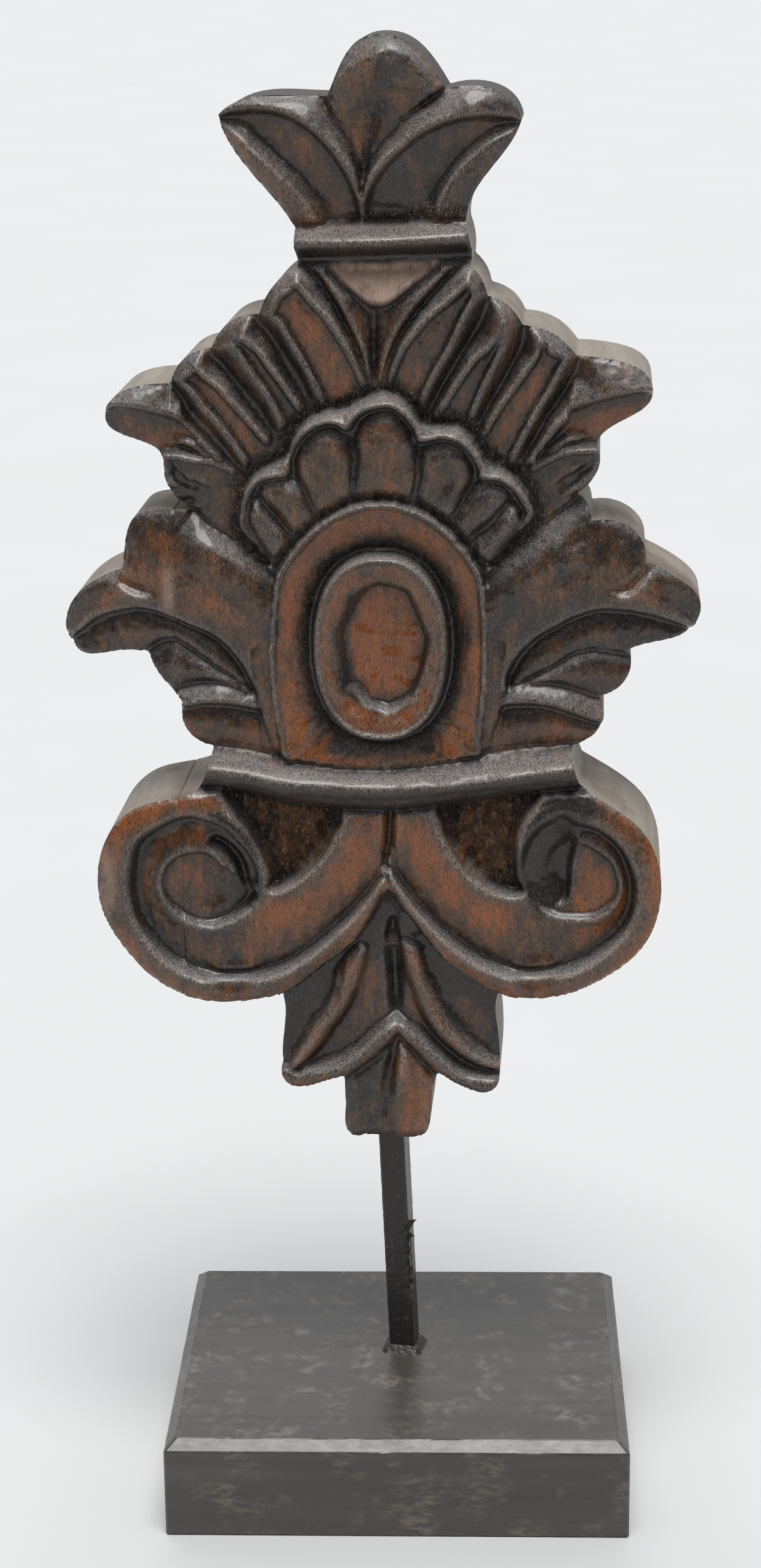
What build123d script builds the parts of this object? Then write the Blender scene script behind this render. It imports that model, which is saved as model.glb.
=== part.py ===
from build123d import *
import math
import os

# Carved finial panel on a stick-and-block display stand.
# Millimetres, +Z up, origin at the centre of the base block's underside, carved face towards -Y.

# ---------------------------------------------------------------- driving dimensions
BASE_WIDTH = 100.0
BASE_DEPTH = 85.3
BASE_HEIGHT = 22.2
CHAMFER_ACROSS = 2.5
CHAMFER_DOWN = 2.1

POST_SIDE = 5.8
POST_YAW = -11.0
POST_FOOT = Vector(0.9, 2.5, BASE_HEIGHT)
POST_HEAD = Vector(-1.3, 3.2, 79.0)
MORTISE_DEPTH = 12.0
SOCKET_DEPTH = 13.0

BEAD_WIDTH = 1.7
BEAD_HEIGHT = 1.6

BOARD_THICKNESS = 32.0
BOARD_FRONT_Y = -14.0
BOARD_YAW = 2.5
BOARD_OFFSET_X = -3.0
SEAM_X = -42.9

# depth of each carved level below the board's front plane
BAND_DEPTH = 0.5
BOSS_DEPTH = 1.5
RIM_DEPTH = 2.0
SCROLL_DEPTH = 3.0
TAIL_DEPTH = 5.0
FAN_DEPTH = 6.5
PETAL_DEPTH = 5.5
CROWN_DEPTH = 8.0
WING_DEPTH = 10.0
ARCH_DEPTH = 7.0
CHANNEL_DEPTH = 9.0
POCKET_DEPTH = 9.0
RIB_RISE = 2.0

FAN_LOWER_EDGE = 219.0
CROWN_LOWER_EDGE = 267.0
SCROLL_TOP_EDGE = 167.0
TAIL_TOP_EDGE = 113.0

# ---------------------------------------------------------------- the board's own plane
# x runs across the board, y up it, and z out of its carved face.
yaw = math.radians(BOARD_YAW)
across = Vector(math.cos(yaw), -math.sin(yaw), 0)
outward = Vector(-math.sin(yaw), -math.cos(yaw), 0)
board_plane = Plane(
    origin=Vector(0, BOARD_FRONT_Y, 0) + across * BOARD_OFFSET_X, x_dir=across, z_dir=outward
)


def slab(shape, front, back=BOARD_THICKNESS):
    """A flat shape made solid between two depths below the board's front plane."""
    placed = board_plane * Pos(0, 0, -back) * shape
    return extrude(placed, amount=back - front, dir=board_plane.z_dir)


def curved(*runs):
    """A closed face whose edge is one spline for each run; the runs join end to end."""
    edges = []
    for index, run in enumerate(runs):
        following = runs[(index + 1) % len(runs)]
        points = list(run) + [following[0]]
        edges.append(Line(*points) if len(points) == 2 else Spline(*points))
    return make_face(edges)


def polygon(*points):
    return make_face(Polyline(*points, close=True))


def strip_between(low, high, left=-90.0, right=90.0):
    return Pos((left + right) / 2, (low + high) / 2) * Rectangle(right - left, high - low)


# ---------------------------------------------------------------- outline of the fretted board
# One run for each lobe, clockwise from the foot of the tail; a run starts at a notch.
TAIL_LEFT = [
    [(-5.8, 77.6), (-8.3, 78.8), (-8.9, 82.0)],
    [(-8.8, 86.5)],
    [(-8.9, 92.5), (-14.6, 90.8), (-20.8, 90.2), (-22.4, 92.4)],
    [(-22.3, 95.0), (-21.9, 103.0), (-21.9, 109.6)],
]
SCROLL_LEFT = [
    [(-22.7, 112.0), (-29.0, 110.8), (-38.5, 110.7), (-48.0, 114.6), (-55.4, 122.2),
     (-60.0, 130.6), (-60.8, 139.5), (-57.3, 149.4), (-51.3, 154.4), (-45.1, 156.0)],
    [(-39.0, 157.6), (-37.3, 160.8)],
]
WINGS_LEFT = [
    [(-35.7, 166.6), (-40.0, 168.4), (-42.2, 172.2)],
    [(-41.9, 176.5), (-46.6, 181.3)],
    [(-49.2, 186.0), (-57.0, 186.3), (-65.4, 186.4), (-67.2, 189.8), (-65.6, 196.8),
     (-61.0, 201.3)],
    [(-54.2, 204.5), (-53.6, 209.5), (-51.3, 215.4), (-45.0, 217.0)],
    [(-38.4, 216.8), (-43.6, 221.4)],
    [(-44.4, 227.9), (-50.7, 232.0), (-56.6, 235.4), (-55.6, 239.4), (-48.6, 243.3)],
    [(-42.6, 243.6), (-39.4, 248.9)],
    [(-34.0, 250.8), (-30.2, 256.0)],
    [(-24.0, 257.7), (-20.6, 263.9)],
]
CROWN = [
    [(-16.1, 267.2), (-16.6, 270.5)],
    [(-16.6, 274.7), (-24.6, 284.7), (-31.9, 295.8)],
    [(-32.2, 296.8), (-27.0, 300.0), (-17.5, 300.8)],
    [(-9.9, 300.5), (-7.4, 306.3), (-3.1, 311.6), (1.1, 312.4), (5.4, 311.4), (10.2, 307.2)],
    [(13.8, 301.7), (19.7, 302.4), (25.9, 300.4)],
    [(28.9, 295.6), (23.5, 287.0), (18.6, 279.6)],
    [(18.0, 275.1), (19.0, 271.0)],
]
WINGS_RIGHT = [
    [(18.9, 267.4), (21.3, 264.6)],
    [(22.3, 261.4), (27.2, 258.9)],
    [(29.4, 255.5), (36.1, 253.6)],
    [(40.4, 249.3), (48.5, 248.4), (55.4, 244.2), (55.7, 240.6), (50.4, 236.3)],
    [(44.6, 231.2), (45.1, 226.6), (43.2, 223.1)],
    [(40.7, 220.6), (43.2, 217.8)],
    [(43.7, 215.2), (50.1, 214.5), (54.0, 211.2)],
    [(54.9, 206.7), (61.5, 203.1), (66.6, 196.6), (65.0, 192.1), (58.7, 189.5)],
    [(51.6, 187.8), (51.7, 182.4), (49.0, 179.2)],
    [(45.7, 177.8), (46.4, 172.6), (44.0, 169.2)],
]
SCROLL_RIGHT = [
    [(40.1, 167.4), (40.9, 163.0)],
    [(42.1, 159.4), (49.5, 154.9), (55.9, 149.1), (58.9, 141.5), (58.8, 132.5), (55.0, 123.7),
     (46.9, 117.0), (38.8, 113.3), (31.1, 112.3)],
]
TAIL_RIGHT = [
    [(25.3, 112.9), (24.1, 108.8), (24.7, 102.4), (25.1, 94.5)],
    [(25.0, 92.0), (22.8, 89.7), (17.2, 90.7)],
    [(12.0, 93.6), (10.3, 89.0), (10.0, 83.0), (8.6, 78.8), (4.2, 77.8)],
]

outline = curved(
    *TAIL_LEFT, *SCROLL_LEFT, *WINGS_LEFT, *CROWN, *WINGS_RIGHT, *SCROLL_RIGHT, *TAIL_RIGHT
)

# ---------------------------------------------------------------- carved shapes on the face
ARCH_CENTRE = (0.0, 189.0)
arch = curved(
    [(-20.8, 163.6), (-23.0, 182.0), (-21.2, 204.0), (-12.1, 214.9), (0.4, 219.5),
     (12.2, 215.2), (20.7, 204.9), (22.4, 188.0)],
    [(20.6, 165.6), (0.0, 161.0)],
)
channel = Pos(*ARCH_CENTRE) * Ellipse(17.0, 22.5)
boss = Pos(*ARCH_CENTRE) * Ellipse(14.8, 20.2)
table = polygon((-4.9, 198.6), (0.7, 201.4), (6.0, 199.6), (10.1, 192.4), (6.0, 177.1),
                (1.9, 176.1), (-3.4, 179.9))

shell_outer = curved(
    [(-29.6, 213.6), (-29.0, 220.8), (-24.5, 226.5)],
    [(-19.9, 229.3), (-14.5, 237.4)],
    [(-6.9, 239.7), (1.3, 242.7), (8.0, 239.0)],
    [(9.9, 236.0), (19.4, 233.6)],
    [(23.2, 227.9), (30.9, 222.2), (32.6, 215.2)],
    [(22.0, 205.0)],
    [(-21.5, 205.0)],
)
shell_inner = curved(
    [(-27.6, 213.0), (-26.4, 221.5)],
    [(-19.0, 225.4), (-15.0, 233.6)],
    [(-6.4, 235.0), (1.2, 239.6), (7.0, 236.4)],
    [(8.5, 232.7), (17.4, 231.6)],
    [(21.2, 224.8), (28.2, 222.0), (30.4, 214.6)],
    [(20.0, 207.0)],
    [(-19.5, 207.0)],
)
PETALS = [
    (-22.0, 217.5, 4.0, 7.0, 52),
    (-11.6, 224.5, 4.6, 9.5, 22),
    (2.0, 227.6, 5.0, 11.0, 0),
    (14.0, 223.0, 4.6, 9.0, -22),
    (24.2, 216.5, 4.0, 7.0, -50),
]

band = curved(
    [(-36.9, 165.0), (-20.0, 162.9), (0.0, 161.9), (20.0, 163.6)],
    [(40.2, 166.2)],
    [(41.6, 161.0), (20.0, 156.4), (0.0, 154.4), (-20.0, 156.0)],
    [(-37.6, 160.0)],
)
band_ground = curved(
    [(-35.8, 166.2), (-18.0, 164.6), (0.0, 163.6), (20.0, 165.2)],
    [(39.8, 167.2)],
    [(41.8, 159.9), (20.0, 155.6), (0.0, 153.6), (-20.0, 155.2)],
    [(-38.6, 158.4)],
)

CROWN_RIMS = [
    polygon((-31.6, 297.0), (-14.0, 299.8), (-6.5, 292.6), (-3.1, 282.4), (-4.6, 283.4),
            (-9.3, 291.6), (-17.0, 297.2)),
    polygon((28.4, 296.0), (14.2, 301.2), (4.6, 295.2), (-2.7, 283.0), (-1.2, 283.6),
            (5.4, 291.6), (14.5, 296.4)),
]
crown_band = polygon((-17.0, 273.8), (18.4, 274.8), (18.6, 270.0), (-16.4, 269.4))

# ribs of the fans: outer end, inner end and width
RIBS = [
    ((-15.9, 264.1), (-3.6, 245.6), 2.2),
    ((-27.6, 255.0), (-15.9, 239.8), 2.2),
    ((-35.0, 248.8), (-22.1, 234.1), 2.2),
    ((-43.0, 236.5), (-29.2, 225.5), 2.2),
    ((16.6, 263.6), (2.6, 245.6), 2.2),
    ((26.1, 256.0), (11.8, 238.4), 2.2),
    ((34.7, 252.2), (21.8, 236.0), 2.2),
    ((42.8, 244.6), (30.4, 228.4), 2.2),
]
TAIL_RIBS = [
    polygon((-4.6, 121.5), (-9.8, 115.0), (-13.6, 105.0), (-19.3, 94.9), (-13.4, 101.8),
            (-7.5, 110.6)),
    polygon((5.6, 122.0), (6.6, 112.9), (11.3, 103.5), (24.3, 95.2), (16.6, 101.2),
            (11.3, 111.2)),
]

sunken_left = curved([(-30.5, 157.0)], [(-9.5, 152.6), (-14.0, 142.0)], [(-24.4, 136.0)])
sunken_right = curved([(12.2, 152.8)], [(30.2, 154.6)], [(30.6, 135.8), (18.0, 139.0)])
EYES = [((-38.5, 138.5), 8.8), ((40.5, 139.5), 8.8)]


def rib(outer, inner, width):
    """A tapered bar from its wide outer end to a point at its inner end."""
    axis = (Vector(*inner) - Vector(*outer)).normalized()
    side = Vector(-axis.Y, axis.X) * (width / 2)
    start = Vector(*outer)
    corners = [start + side, start - side, Vector(*inner)]
    return polygon(*[(corner.X, corner.Y) for corner in corners])


def volute_rim(centre, radius):
    """A ring round a scroll's eye, left standing at the scroll's full height."""
    return Pos(*centre) * (Circle(radius + 2.0) - Circle(radius))


# ---------------------------------------------------------------- post, base and glue
def build_post():
    axis = (POST_HEAD - POST_FOOT).normalized()
    low = POST_FOOT - axis * MORTISE_DEPTH
    length = (POST_HEAD - POST_FOOT).length + MORTISE_DEPTH + SOCKET_DEPTH
    turned = Vector(math.cos(math.radians(POST_YAW)), math.sin(math.radians(POST_YAW)), 0)
    section = Plane(origin=low, x_dir=turned, z_dir=axis) * Rectangle(POST_SIDE, POST_SIDE)
    return extrude(section, amount=length, dir=axis)


def build_base(post):
    block = Pos(0, 0, BASE_HEIGHT / 2) * Box(BASE_WIDTH, BASE_DEPTH, BASE_HEIGHT)
    top = block.faces().sort_by(Axis.Z)[-1]
    block = chamfer(top.edges(), CHAMFER_DOWN, CHAMFER_ACROSS, reference=top)
    return block - post


def build_bead(post):
    foot = Pos(POST_FOOT.X, POST_FOOT.Y, BASE_HEIGHT) * Rot(0, 0, POST_YAW)
    wide = POST_SIDE + 2 * BEAD_WIDTH
    ring = loft([
        foot * RectangleRounded(wide, wide, BEAD_WIDTH),
        foot * Pos(0, 0, BEAD_HEIGHT) * RectangleRounded(POST_SIDE + 0.5, POST_SIDE + 0.5, 0.3),
    ])
    return ring - post


# ---------------------------------------------------------------- the carved board
def build_board(post):
    board = slab(outline, WING_DEPTH)
    board += slab(outline & strip_between(FAN_LOWER_EDGE, CROWN_LOWER_EDGE), FAN_DEPTH)
    board += slab(outline & strip_between(CROWN_LOWER_EDGE, 320.0), CROWN_DEPTH)
    board += slab(outline & strip_between(TAIL_TOP_EDGE, SCROLL_TOP_EDGE - 8.0), SCROLL_DEPTH)
    board += slab(outline & strip_between(70.0, TAIL_TOP_EDGE), TAIL_DEPTH)
    board += slab(shell_outer, RIM_DEPTH + 1.0)
    board -= slab(shell_inner, 0.0, PETAL_DEPTH + RIB_RISE)
    for x, y, half_width, half_length, turn in PETALS:
        petal = Pos(x, y) * Rot(0, 0, turn) * Ellipse(half_width, half_length)
        board += slab(petal, PETAL_DEPTH)
    board += slab(arch, ARCH_DEPTH)
    board -= slab(arch, 0.0, ARCH_DEPTH)
    board -= slab(channel, 0.0, CHANNEL_DEPTH)
    board += slab(boss, BOSS_DEPTH + RIB_RISE)
    board += slab(table, BOSS_DEPTH)
    board -= slab(band_ground, 0.0, SCROLL_DEPTH)
    board += slab(outline & band, BAND_DEPTH)
    for shape in CROWN_RIMS + [crown_band]:
        board += slab(outline & shape, CROWN_DEPTH - RIB_RISE)
    for outer, inner, width in RIBS:
        board += slab(rib(outer, inner, width), FAN_DEPTH - RIB_RISE)
    for shape in TAIL_RIBS:
        board += slab(shape, TAIL_DEPTH - RIB_RISE)
    for shape in (sunken_left, sunken_right):
        board -= slab(shape, 0.0, POCKET_DEPTH)
    for centre, radius in EYES:
        board -= slab(volute_rim(centre, radius), 0.0, SCROLL_DEPTH + RIB_RISE)
    return board - post


def build_left_boards(board):
    """The pieces of the second board, left of the glued seam, from the top down."""
    beyond = slab(strip_between(60.0, 330.0, -90.0, SEAM_X), -5.0, BOARD_THICKNESS + 5.0)
    main = board - beyond
    pieces = (board & beyond).solids().sort_by(Axis.Z, reverse=True)
    return main, pieces


post = build_post()
base = build_base(post)
bead = build_bead(post)
board = build_board(post)
main_board, left_boards = build_left_boards(board)

nodes = {
    "base_block": base,
    "post": post,
    "foot_glue_bead": bead,
    "main_board": main_board,
}
for name, piece in zip(("left_top_wing", "left_middle_wing", "left_scroll"), left_boards):
    nodes[name] = piece

os.makedirs("parts", exist_ok=True)
for name, shape in nodes.items():
    export_step(shape, f"parts/{name}.step")
print("left boards:", [round(piece.volume) for piece in left_boards])
print("main board solids:", len(main_board.solids()))
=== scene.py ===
import math

import bmesh
import bpy
import numpy as np
from mathutils import Matrix, Vector


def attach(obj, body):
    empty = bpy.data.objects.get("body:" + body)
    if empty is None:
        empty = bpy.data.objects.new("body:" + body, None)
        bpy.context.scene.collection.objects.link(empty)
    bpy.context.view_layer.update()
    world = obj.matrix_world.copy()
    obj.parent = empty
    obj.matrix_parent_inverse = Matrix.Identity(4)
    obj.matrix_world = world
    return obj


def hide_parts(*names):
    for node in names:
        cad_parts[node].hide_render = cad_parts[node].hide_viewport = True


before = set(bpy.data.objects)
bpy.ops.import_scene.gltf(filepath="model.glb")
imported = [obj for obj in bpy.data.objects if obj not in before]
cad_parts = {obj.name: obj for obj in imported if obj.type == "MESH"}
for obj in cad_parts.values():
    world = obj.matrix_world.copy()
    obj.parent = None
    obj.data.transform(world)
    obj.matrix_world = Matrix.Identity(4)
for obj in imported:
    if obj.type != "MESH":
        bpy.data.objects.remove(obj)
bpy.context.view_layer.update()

# Carving is worked out in millimetres on the board's own plane: u across the face, z up, and
# depth measured back from the plane of the board's front. Meshes are made in metres.
MM = 0.001
BOARD_YAW = math.radians(2.5)
BOARD_FRONT_Y = -14.0
BOARD_OFFSET = -3.0
BOARD_THICKNESS = 32.0
SEAM_U = -42.9
GRID_STEP = 0.45
CURVE_SPACING = 0.5
# grid points whose distances are worked out at one time, to save memory
BLOCK = 4000
U_RANGE = (-68.4, 68.4)
Z_RANGE = (76.4, 313.6)
GROUND_DEPTH = 9.0
PLAIN_WEAR = 0.25
PETAL_STEP = 0.9
# edges of the boards: how near the front starts to round over, how far back its rim lies, and
# the tolerances for the flat back, the seam and points on the same spot
EDGE_ROUNDING = 0.8
RIM_SETBACK = 0.1
BACK_TOLERANCE = 0.05
SEAM_TOLERANCE = 0.06
WELD_DISTANCE = 0.001
SMALLEST_LOOP = 13
FRONT_SLOT, SAWN_SLOT = 0, 1

ACROSS = np.array((math.cos(BOARD_YAW), -math.sin(BOARD_YAW), 0.0))
INWARD = np.array((math.sin(BOARD_YAW), math.cos(BOARD_YAW), 0.0))
ORIGIN = np.array((0.0, BOARD_FRONT_Y, 0.0)) + ACROSS * BOARD_OFFSET


def to_world(u, z, depth):
    """Points of the board's plane as rows of world coordinates in metres."""
    u, z, depth = (np.asarray(a, float).ravel() for a in (u, z, depth))
    points = ORIGIN + u[:, None] * ACROSS + depth[:, None] * INWARD
    points[:, 2] = z
    return points * MM


def to_board(points):
    """World coordinates in metres as (u, z, depth) columns in millimetres."""
    mm = np.asarray(points, float) / MM
    flat = mm - ORIGIN
    return np.column_stack((flat @ ACROSS, mm[:, 2], flat @ INWARD))


def linked_piece(name, data):
    """A new object in the scene."""
    piece = bpy.data.objects.new(name, data)
    bpy.context.scene.collection.objects.link(piece)
    return piece


# ---------------------------------------------------------------- curves and distances
def smooth_curve(points, values=0.0, closed=False):
    """Rows of (x, y, value) along a Catmull-Rom curve through given points."""
    points = np.array(points, float)
    count = len(points)
    ring = np.vstack((points[-1], points, points[:2])) if closed else points
    if not closed:
        ring = np.vstack((2 * ring[0] - ring[1], ring, 2 * ring[-1] - ring[-2]))
    spans = count if closed else count - 1
    rows = []
    for i in range(spans):
        before, start, end, after = ring[i:i + 4]
        length = np.linalg.norm(end - start)
        steps = max(2, int(math.ceil(length / CURVE_SPACING)))
        t = np.arange(steps)[:, None] / steps
        reach_start = length / max(np.linalg.norm(end - before), 1e-6)
        reach_end = length / max(np.linalg.norm(after - start), 1e-6)
        leave = (end - before) * reach_start
        arrive = (after - start) * reach_end
        a, b = 2 * t**3 - 3 * t**2 + 1, t**3 - 2 * t**2 + t
        c, d = -2 * t**3 + 3 * t**2, t**3 - t**2
        rows.append(a * start + b * leave + c * end + d * arrive)
    rows.append(ring[spans + 1][None] if not closed else rows[0][:1])
    line = np.vstack(rows)
    travelled = np.append(0, np.cumsum(np.linalg.norm(np.diff(line, axis=0), axis=1)))
    keys = np.atleast_1d(np.array(values, float))
    along = travelled / travelled[-1] * max(len(keys) - 1, 1)
    value = np.interp(along, np.arange(len(keys)), keys)
    return np.column_stack((line, value))


def closed_curve(points):
    """A smooth closed outline through given points."""
    return smooth_curve(points, closed=True)


def shifted(line, distance, deeper=0.0):
    """A curve moved sideways (to the left of its direction when positive) and deeper."""
    tangent = np.gradient(line[:, :2], axis=0)
    tangent /= np.maximum(np.linalg.norm(tangent, axis=1), 1e-9)[:, None]
    side = np.column_stack((-tangent[:, 1], tangent[:, 0]))
    return np.column_stack((line[:, :2] + side * distance, line[:, 2] + deeper))


def nearest(points, line):
    """Distance from each point to a curve, the curve's value there, and how far along it is."""
    start, step = line[:-1, :2], np.diff(line[:, :2], axis=0)
    size = np.maximum((step**2).sum(1), 1e-12)
    distance, value, along = (np.empty(len(points)) for _ in range(3))
    for low in range(0, len(points), BLOCK):
        part = points[low:low + BLOCK]
        t = ((part[:, None] - start) * step).sum(2) / size
        t = np.clip(t, 0, 1)
        gap = part[:, None] - (start + t[..., None] * step)
        squared = (gap**2).sum(2)
        best = squared.argmin(1)
        rows = np.arange(len(part))
        chosen = t[rows, best]
        distance[low:low + BLOCK] = np.sqrt(squared[rows, best])
        value[low:low + BLOCK] = line[best, 2] + chosen * (line[best + 1, 2] - line[best, 2])
        along[low:low + BLOCK] = (best + chosen) / len(step)
    return distance, value, along


def within(x, y, polygon):
    """Even-odd test of points against a closed polygon."""
    inside = np.zeros(x.shape, bool)
    previous = polygon[-1]
    for current in polygon:
        crosses = (current[1] > y) != (previous[1] > y)
        if crosses.any():
            slope = (previous[0] - current[0]) / (previous[1] - current[1] + 1e-12)
            inside ^= crosses & (x < slope * (y - current[1]) + current[0])
        previous = current
    return inside


def ease(t):
    """A smooth step from 0 to 1."""
    t = np.clip(t, 0, 1)
    return t * t * (3 - 2 * t)


# ---------------------------------------------------------------- the carved surface
class Relief:
    """Depth of the carved face on a regular grid, shaped by lofts between curves.

    wear runs from 0, black stain, to 1, rubbed down to orange wood, and goes below 0 where the
    stain stays black and where shade is painted black, so that no dust or painted sheen shows on
    it. rough is torn, unsmoothed wood; bare is wood that never took the stain or lost it again.
    """

    def __init__(self):
        self.u = np.arange(*U_RANGE, GRID_STEP)
        self.z = np.arange(*Z_RANGE, GRID_STEP)
        self.grid_u, self.grid_z = np.meshgrid(self.u, self.z)
        self.depth = np.full(self.grid_u.shape, GROUND_DEPTH)
        self.painted = np.zeros(self.grid_u.shape, bool)
        self.wear = np.full(self.grid_u.shape, PLAIN_WEAR)
        self.rough = np.zeros(self.grid_u.shape)
        self.bare = np.zeros(self.grid_u.shape)

    def window(self, low, high, margin):
        """The grid's rows and columns that hold a box and a margin round it."""
        rows = slice(*np.searchsorted(self.z, (low[1] - margin, high[1] + margin)))
        columns = slice(*np.searchsorted(self.u, (low[0] - margin, high[0] + margin)))
        return rows, columns

    def inside(self, polygon):
        """Mask of the grid points in a polygon."""
        mask = np.zeros(self.depth.shape, bool)
        spot = self.window(polygon[:, :2].min(0), polygon[:, :2].max(0), GRID_STEP)
        mask[spot] = within(self.grid_u[spot], self.grid_z[spot], polygon[:, :2])
        return mask

    def points(self, mask):
        """The grid points in a mask, as (u, z) rows."""
        return np.column_stack((self.grid_u[mask], self.grid_z[mask]))

    def patch(self, outline):
        """An outline's inside: its mask, its grid points and their distances to the outline."""
        mask = self.inside(outline)
        points = self.points(mask)
        distance, _, _ = nearest(points, outline)
        return mask, points, distance

    def beside(self, line, width):
        """The window round a curve, its grid points, their distances and the curve's values."""
        spot = self.window(line[:, :2].min(0), line[:, :2].max(0), width)
        near = np.column_stack((self.grid_u[spot].ravel(), self.grid_z[spot].ravel()))
        distance, value, _ = nearest(near, line)
        return spot, near, distance, value

    def paint(self, mask, depth, worn):
        """Cover part of the face with a new smooth surface."""
        self.depth[mask] = depth
        self.wear[mask] = worn
        self.rough[mask] = 0.0
        self.painted |= mask

    def loft(self, first, second, bulge=0.0, worn=(PLAIN_WEAR, PLAIN_WEAR)):
        """A surface between two curves that run the same way; bulge lifts its middle."""
        mask = self.inside(np.vstack((first[:, :2], second[::-1, :2])))
        points = self.points(mask)
        d1, v1, _ = nearest(points, first)
        d2, v2, _ = nearest(points, second)
        f = d1 / np.maximum(d1 + d2, 1e-9)
        self.paint(mask, v1 + (v2 - v1) * f - bulge * 4 * f * (1 - f),
                   np.interp(f, np.linspace(0, 1, len(worn)), worn))

    def lofts(self, *curves, bulges, worn):
        """A surface through a row of curves, each pair with its own bulge and wear."""
        for first, second, bulge, share in zip(curves, curves[1:], bulges, worn):
            self.loft(first, second, bulge, share)

    def petal(self, edge, width, edge_depth, crest_depth, drop, dish, worn=0.85):
        """A gouged petal: a bevel rises from its edge to a crest, then drops to a field."""
        line = smooth_curve(edge, edge_depth)
        widths = smooth_curve(edge, width)
        crests = smooth_curve(edge, crest_depth)
        mask = self.inside(line)
        points = self.points(mask)
        distance, low, along = nearest(points, line)
        place = along * (len(line) - 1)
        w = np.interp(place, np.arange(len(line)), widths[:, 2])
        crest = np.interp(place, np.arange(len(line)), crests[:, 2])
        bevel = low + (crest - low) * np.clip(distance / w, 0, 1) ** 0.8
        beyond = distance - w
        field = crest + drop * ease(beyond / PETAL_STEP)
        field -= dish * (1 - np.exp(-np.maximum(beyond, 0) / 2.0))
        self.paint(mask, np.where(beyond < 0, bevel, field),
                   np.where(beyond < 0, 0.22, worn * ease((beyond - 0.5 * PETAL_STEP) / 1.6)))

    def melt(self, points, width, passes, keep):
        """Blend the faces that meet along a line, but leave the curves in keep crisp."""
        spot, near, distance, _ = self.beside(smooth_curve(points), width)
        share = ease(1.6 * (1 - distance / width))
        for crisp in keep:
            away, _, _ = nearest(near, crisp)
            share *= ease((away - 0.3) / 1.4)
        share = share.reshape(self.depth[spot].shape)
        self.depth[spot] += (blurred(self.depth, passes)[spot] - self.depth[spot]) * share
        self.wear[spot] += (blurred(self.wear, passes)[spot] - self.wear[spot]) * share

    def fill(self, passes):
        """Grid points that nothing has painted take the mean of their painted neighbours."""
        for _ in range(passes):
            total, count = np.zeros(self.depth.shape), np.zeros(self.depth.shape)
            wear = np.zeros(self.depth.shape)
            for axis in (0, 1):
                for way in (1, -1):
                    known = np.roll(self.painted, way, axis)
                    total += np.where(known, np.roll(self.depth, way, axis), 0)
                    wear += np.where(known, np.roll(self.wear, way, axis), 0)
                    count += known
            fresh = ~self.painted & (count > 0)
            self.depth[fresh] = total[fresh] / count[fresh]
            self.wear[fresh] = wear[fresh] / count[fresh]
            self.painted |= fresh

    def groove(self, points, cut, width):
        """A V cut along a line; cut lists its depth along the way."""
        spot, _, distance, value = self.beside(smooth_curve(points, cut), width)
        shape = np.clip(1 - distance / width, 0, 1)
        self.depth[spot] += (value * shape).reshape(self.depth[spot].shape)

    def ridge(self, points, rise, width):
        """A groove turned over: a V that stands up along a line."""
        self.groove(points, -np.array(rise, float), width)


def blurred(field, passes):
    """A field after so many passes of a small blur."""
    for _ in range(passes):
        for axis in (0, 1):
            field = 0.5 * field + 0.25 * (np.roll(field, -1, axis) + np.roll(field, 1, axis))
    return field


# In the carve functions points are (u, z), and a list of numbers beside them is the depth, cut or
# width at even steps along that curve. The numbers in worn are wear, even steps from the first
# curve to the second. Later calls paint over earlier ones, so what lies in front comes last.
def carve_crown(relief):
    """Two curling leaves in front of a round lobe, above a moulded band."""
    carve_crown_lobe(relief)
    carve_left_crown_leaf(relief)
    carve_right_crown_leaf(relief)
    carve_crown_band(relief)


def carve_crown_lobe(relief):
    """A facet along the lobe's top edge, then two hollow halves either side of a valley."""
    top = smooth_curve([(-10.6, 299.2), (-9.8, 303.6), (-7.8, 307.8), (-3.6, 312.4), (1.1, 313.6),
                        (6.0, 312.3), (12.0, 306.8), (14.8, 301.0)], [12.8, 13.6, 14.4, 14.4, 13.0])
    crest = smooth_curve([(-9.0, 299.2), (-8.1, 303.0), (-5.9, 306.2), (-2.9, 307.8), (1.6, 309.0),
                          (5.2, 308.9), (8.7, 305.8), (11.5, 302.6), (12.9, 300.6)],
                         [11.4, 10.6, 9.7, 9.8, 10.6])
    relief.loft(top, crest, 0.3, worn=(0.35, 0.6, 0.45))
    valley = smooth_curve([(1.2, 309.0), (0.4, 303.0), (-0.9, 297.5), (-1.9, 291.8), (-2.8, 285.6),
                           (-3.3, 280.5)], [10.4, 12.2, 13.0, 13.2, 12.8, 12.2])
    left = smooth_curve([(1.2, 309.0), (-2.9, 307.8), (-5.9, 306.2), (-8.1, 303.0), (-9.0, 299.2),
                         (-9.3, 297.0), (-6.5, 292.8), (-4.1, 287.5), (-3.4, 280.5)],
                        [10.0, 9.9, 10.6, 12.0, 12.8, 12.6])
    right = smooth_curve([(1.2, 309.0), (5.2, 308.9), (8.7, 305.8), (11.5, 302.6), (12.9, 300.6),
                          (9.7, 298.8), (5.9, 296.0), (2.1, 291.7), (-1.2, 287.0), (-3.3, 280.5)],
                         [10.0, 9.9, 10.6, 12.2, 12.8, 12.6])
    relief.loft(left, valley, 0.9, worn=(0.5, 0.75, 0.45))
    relief.loft(right, valley, 0.7, worn=(0.15, 0.35, 0.2))


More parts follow.
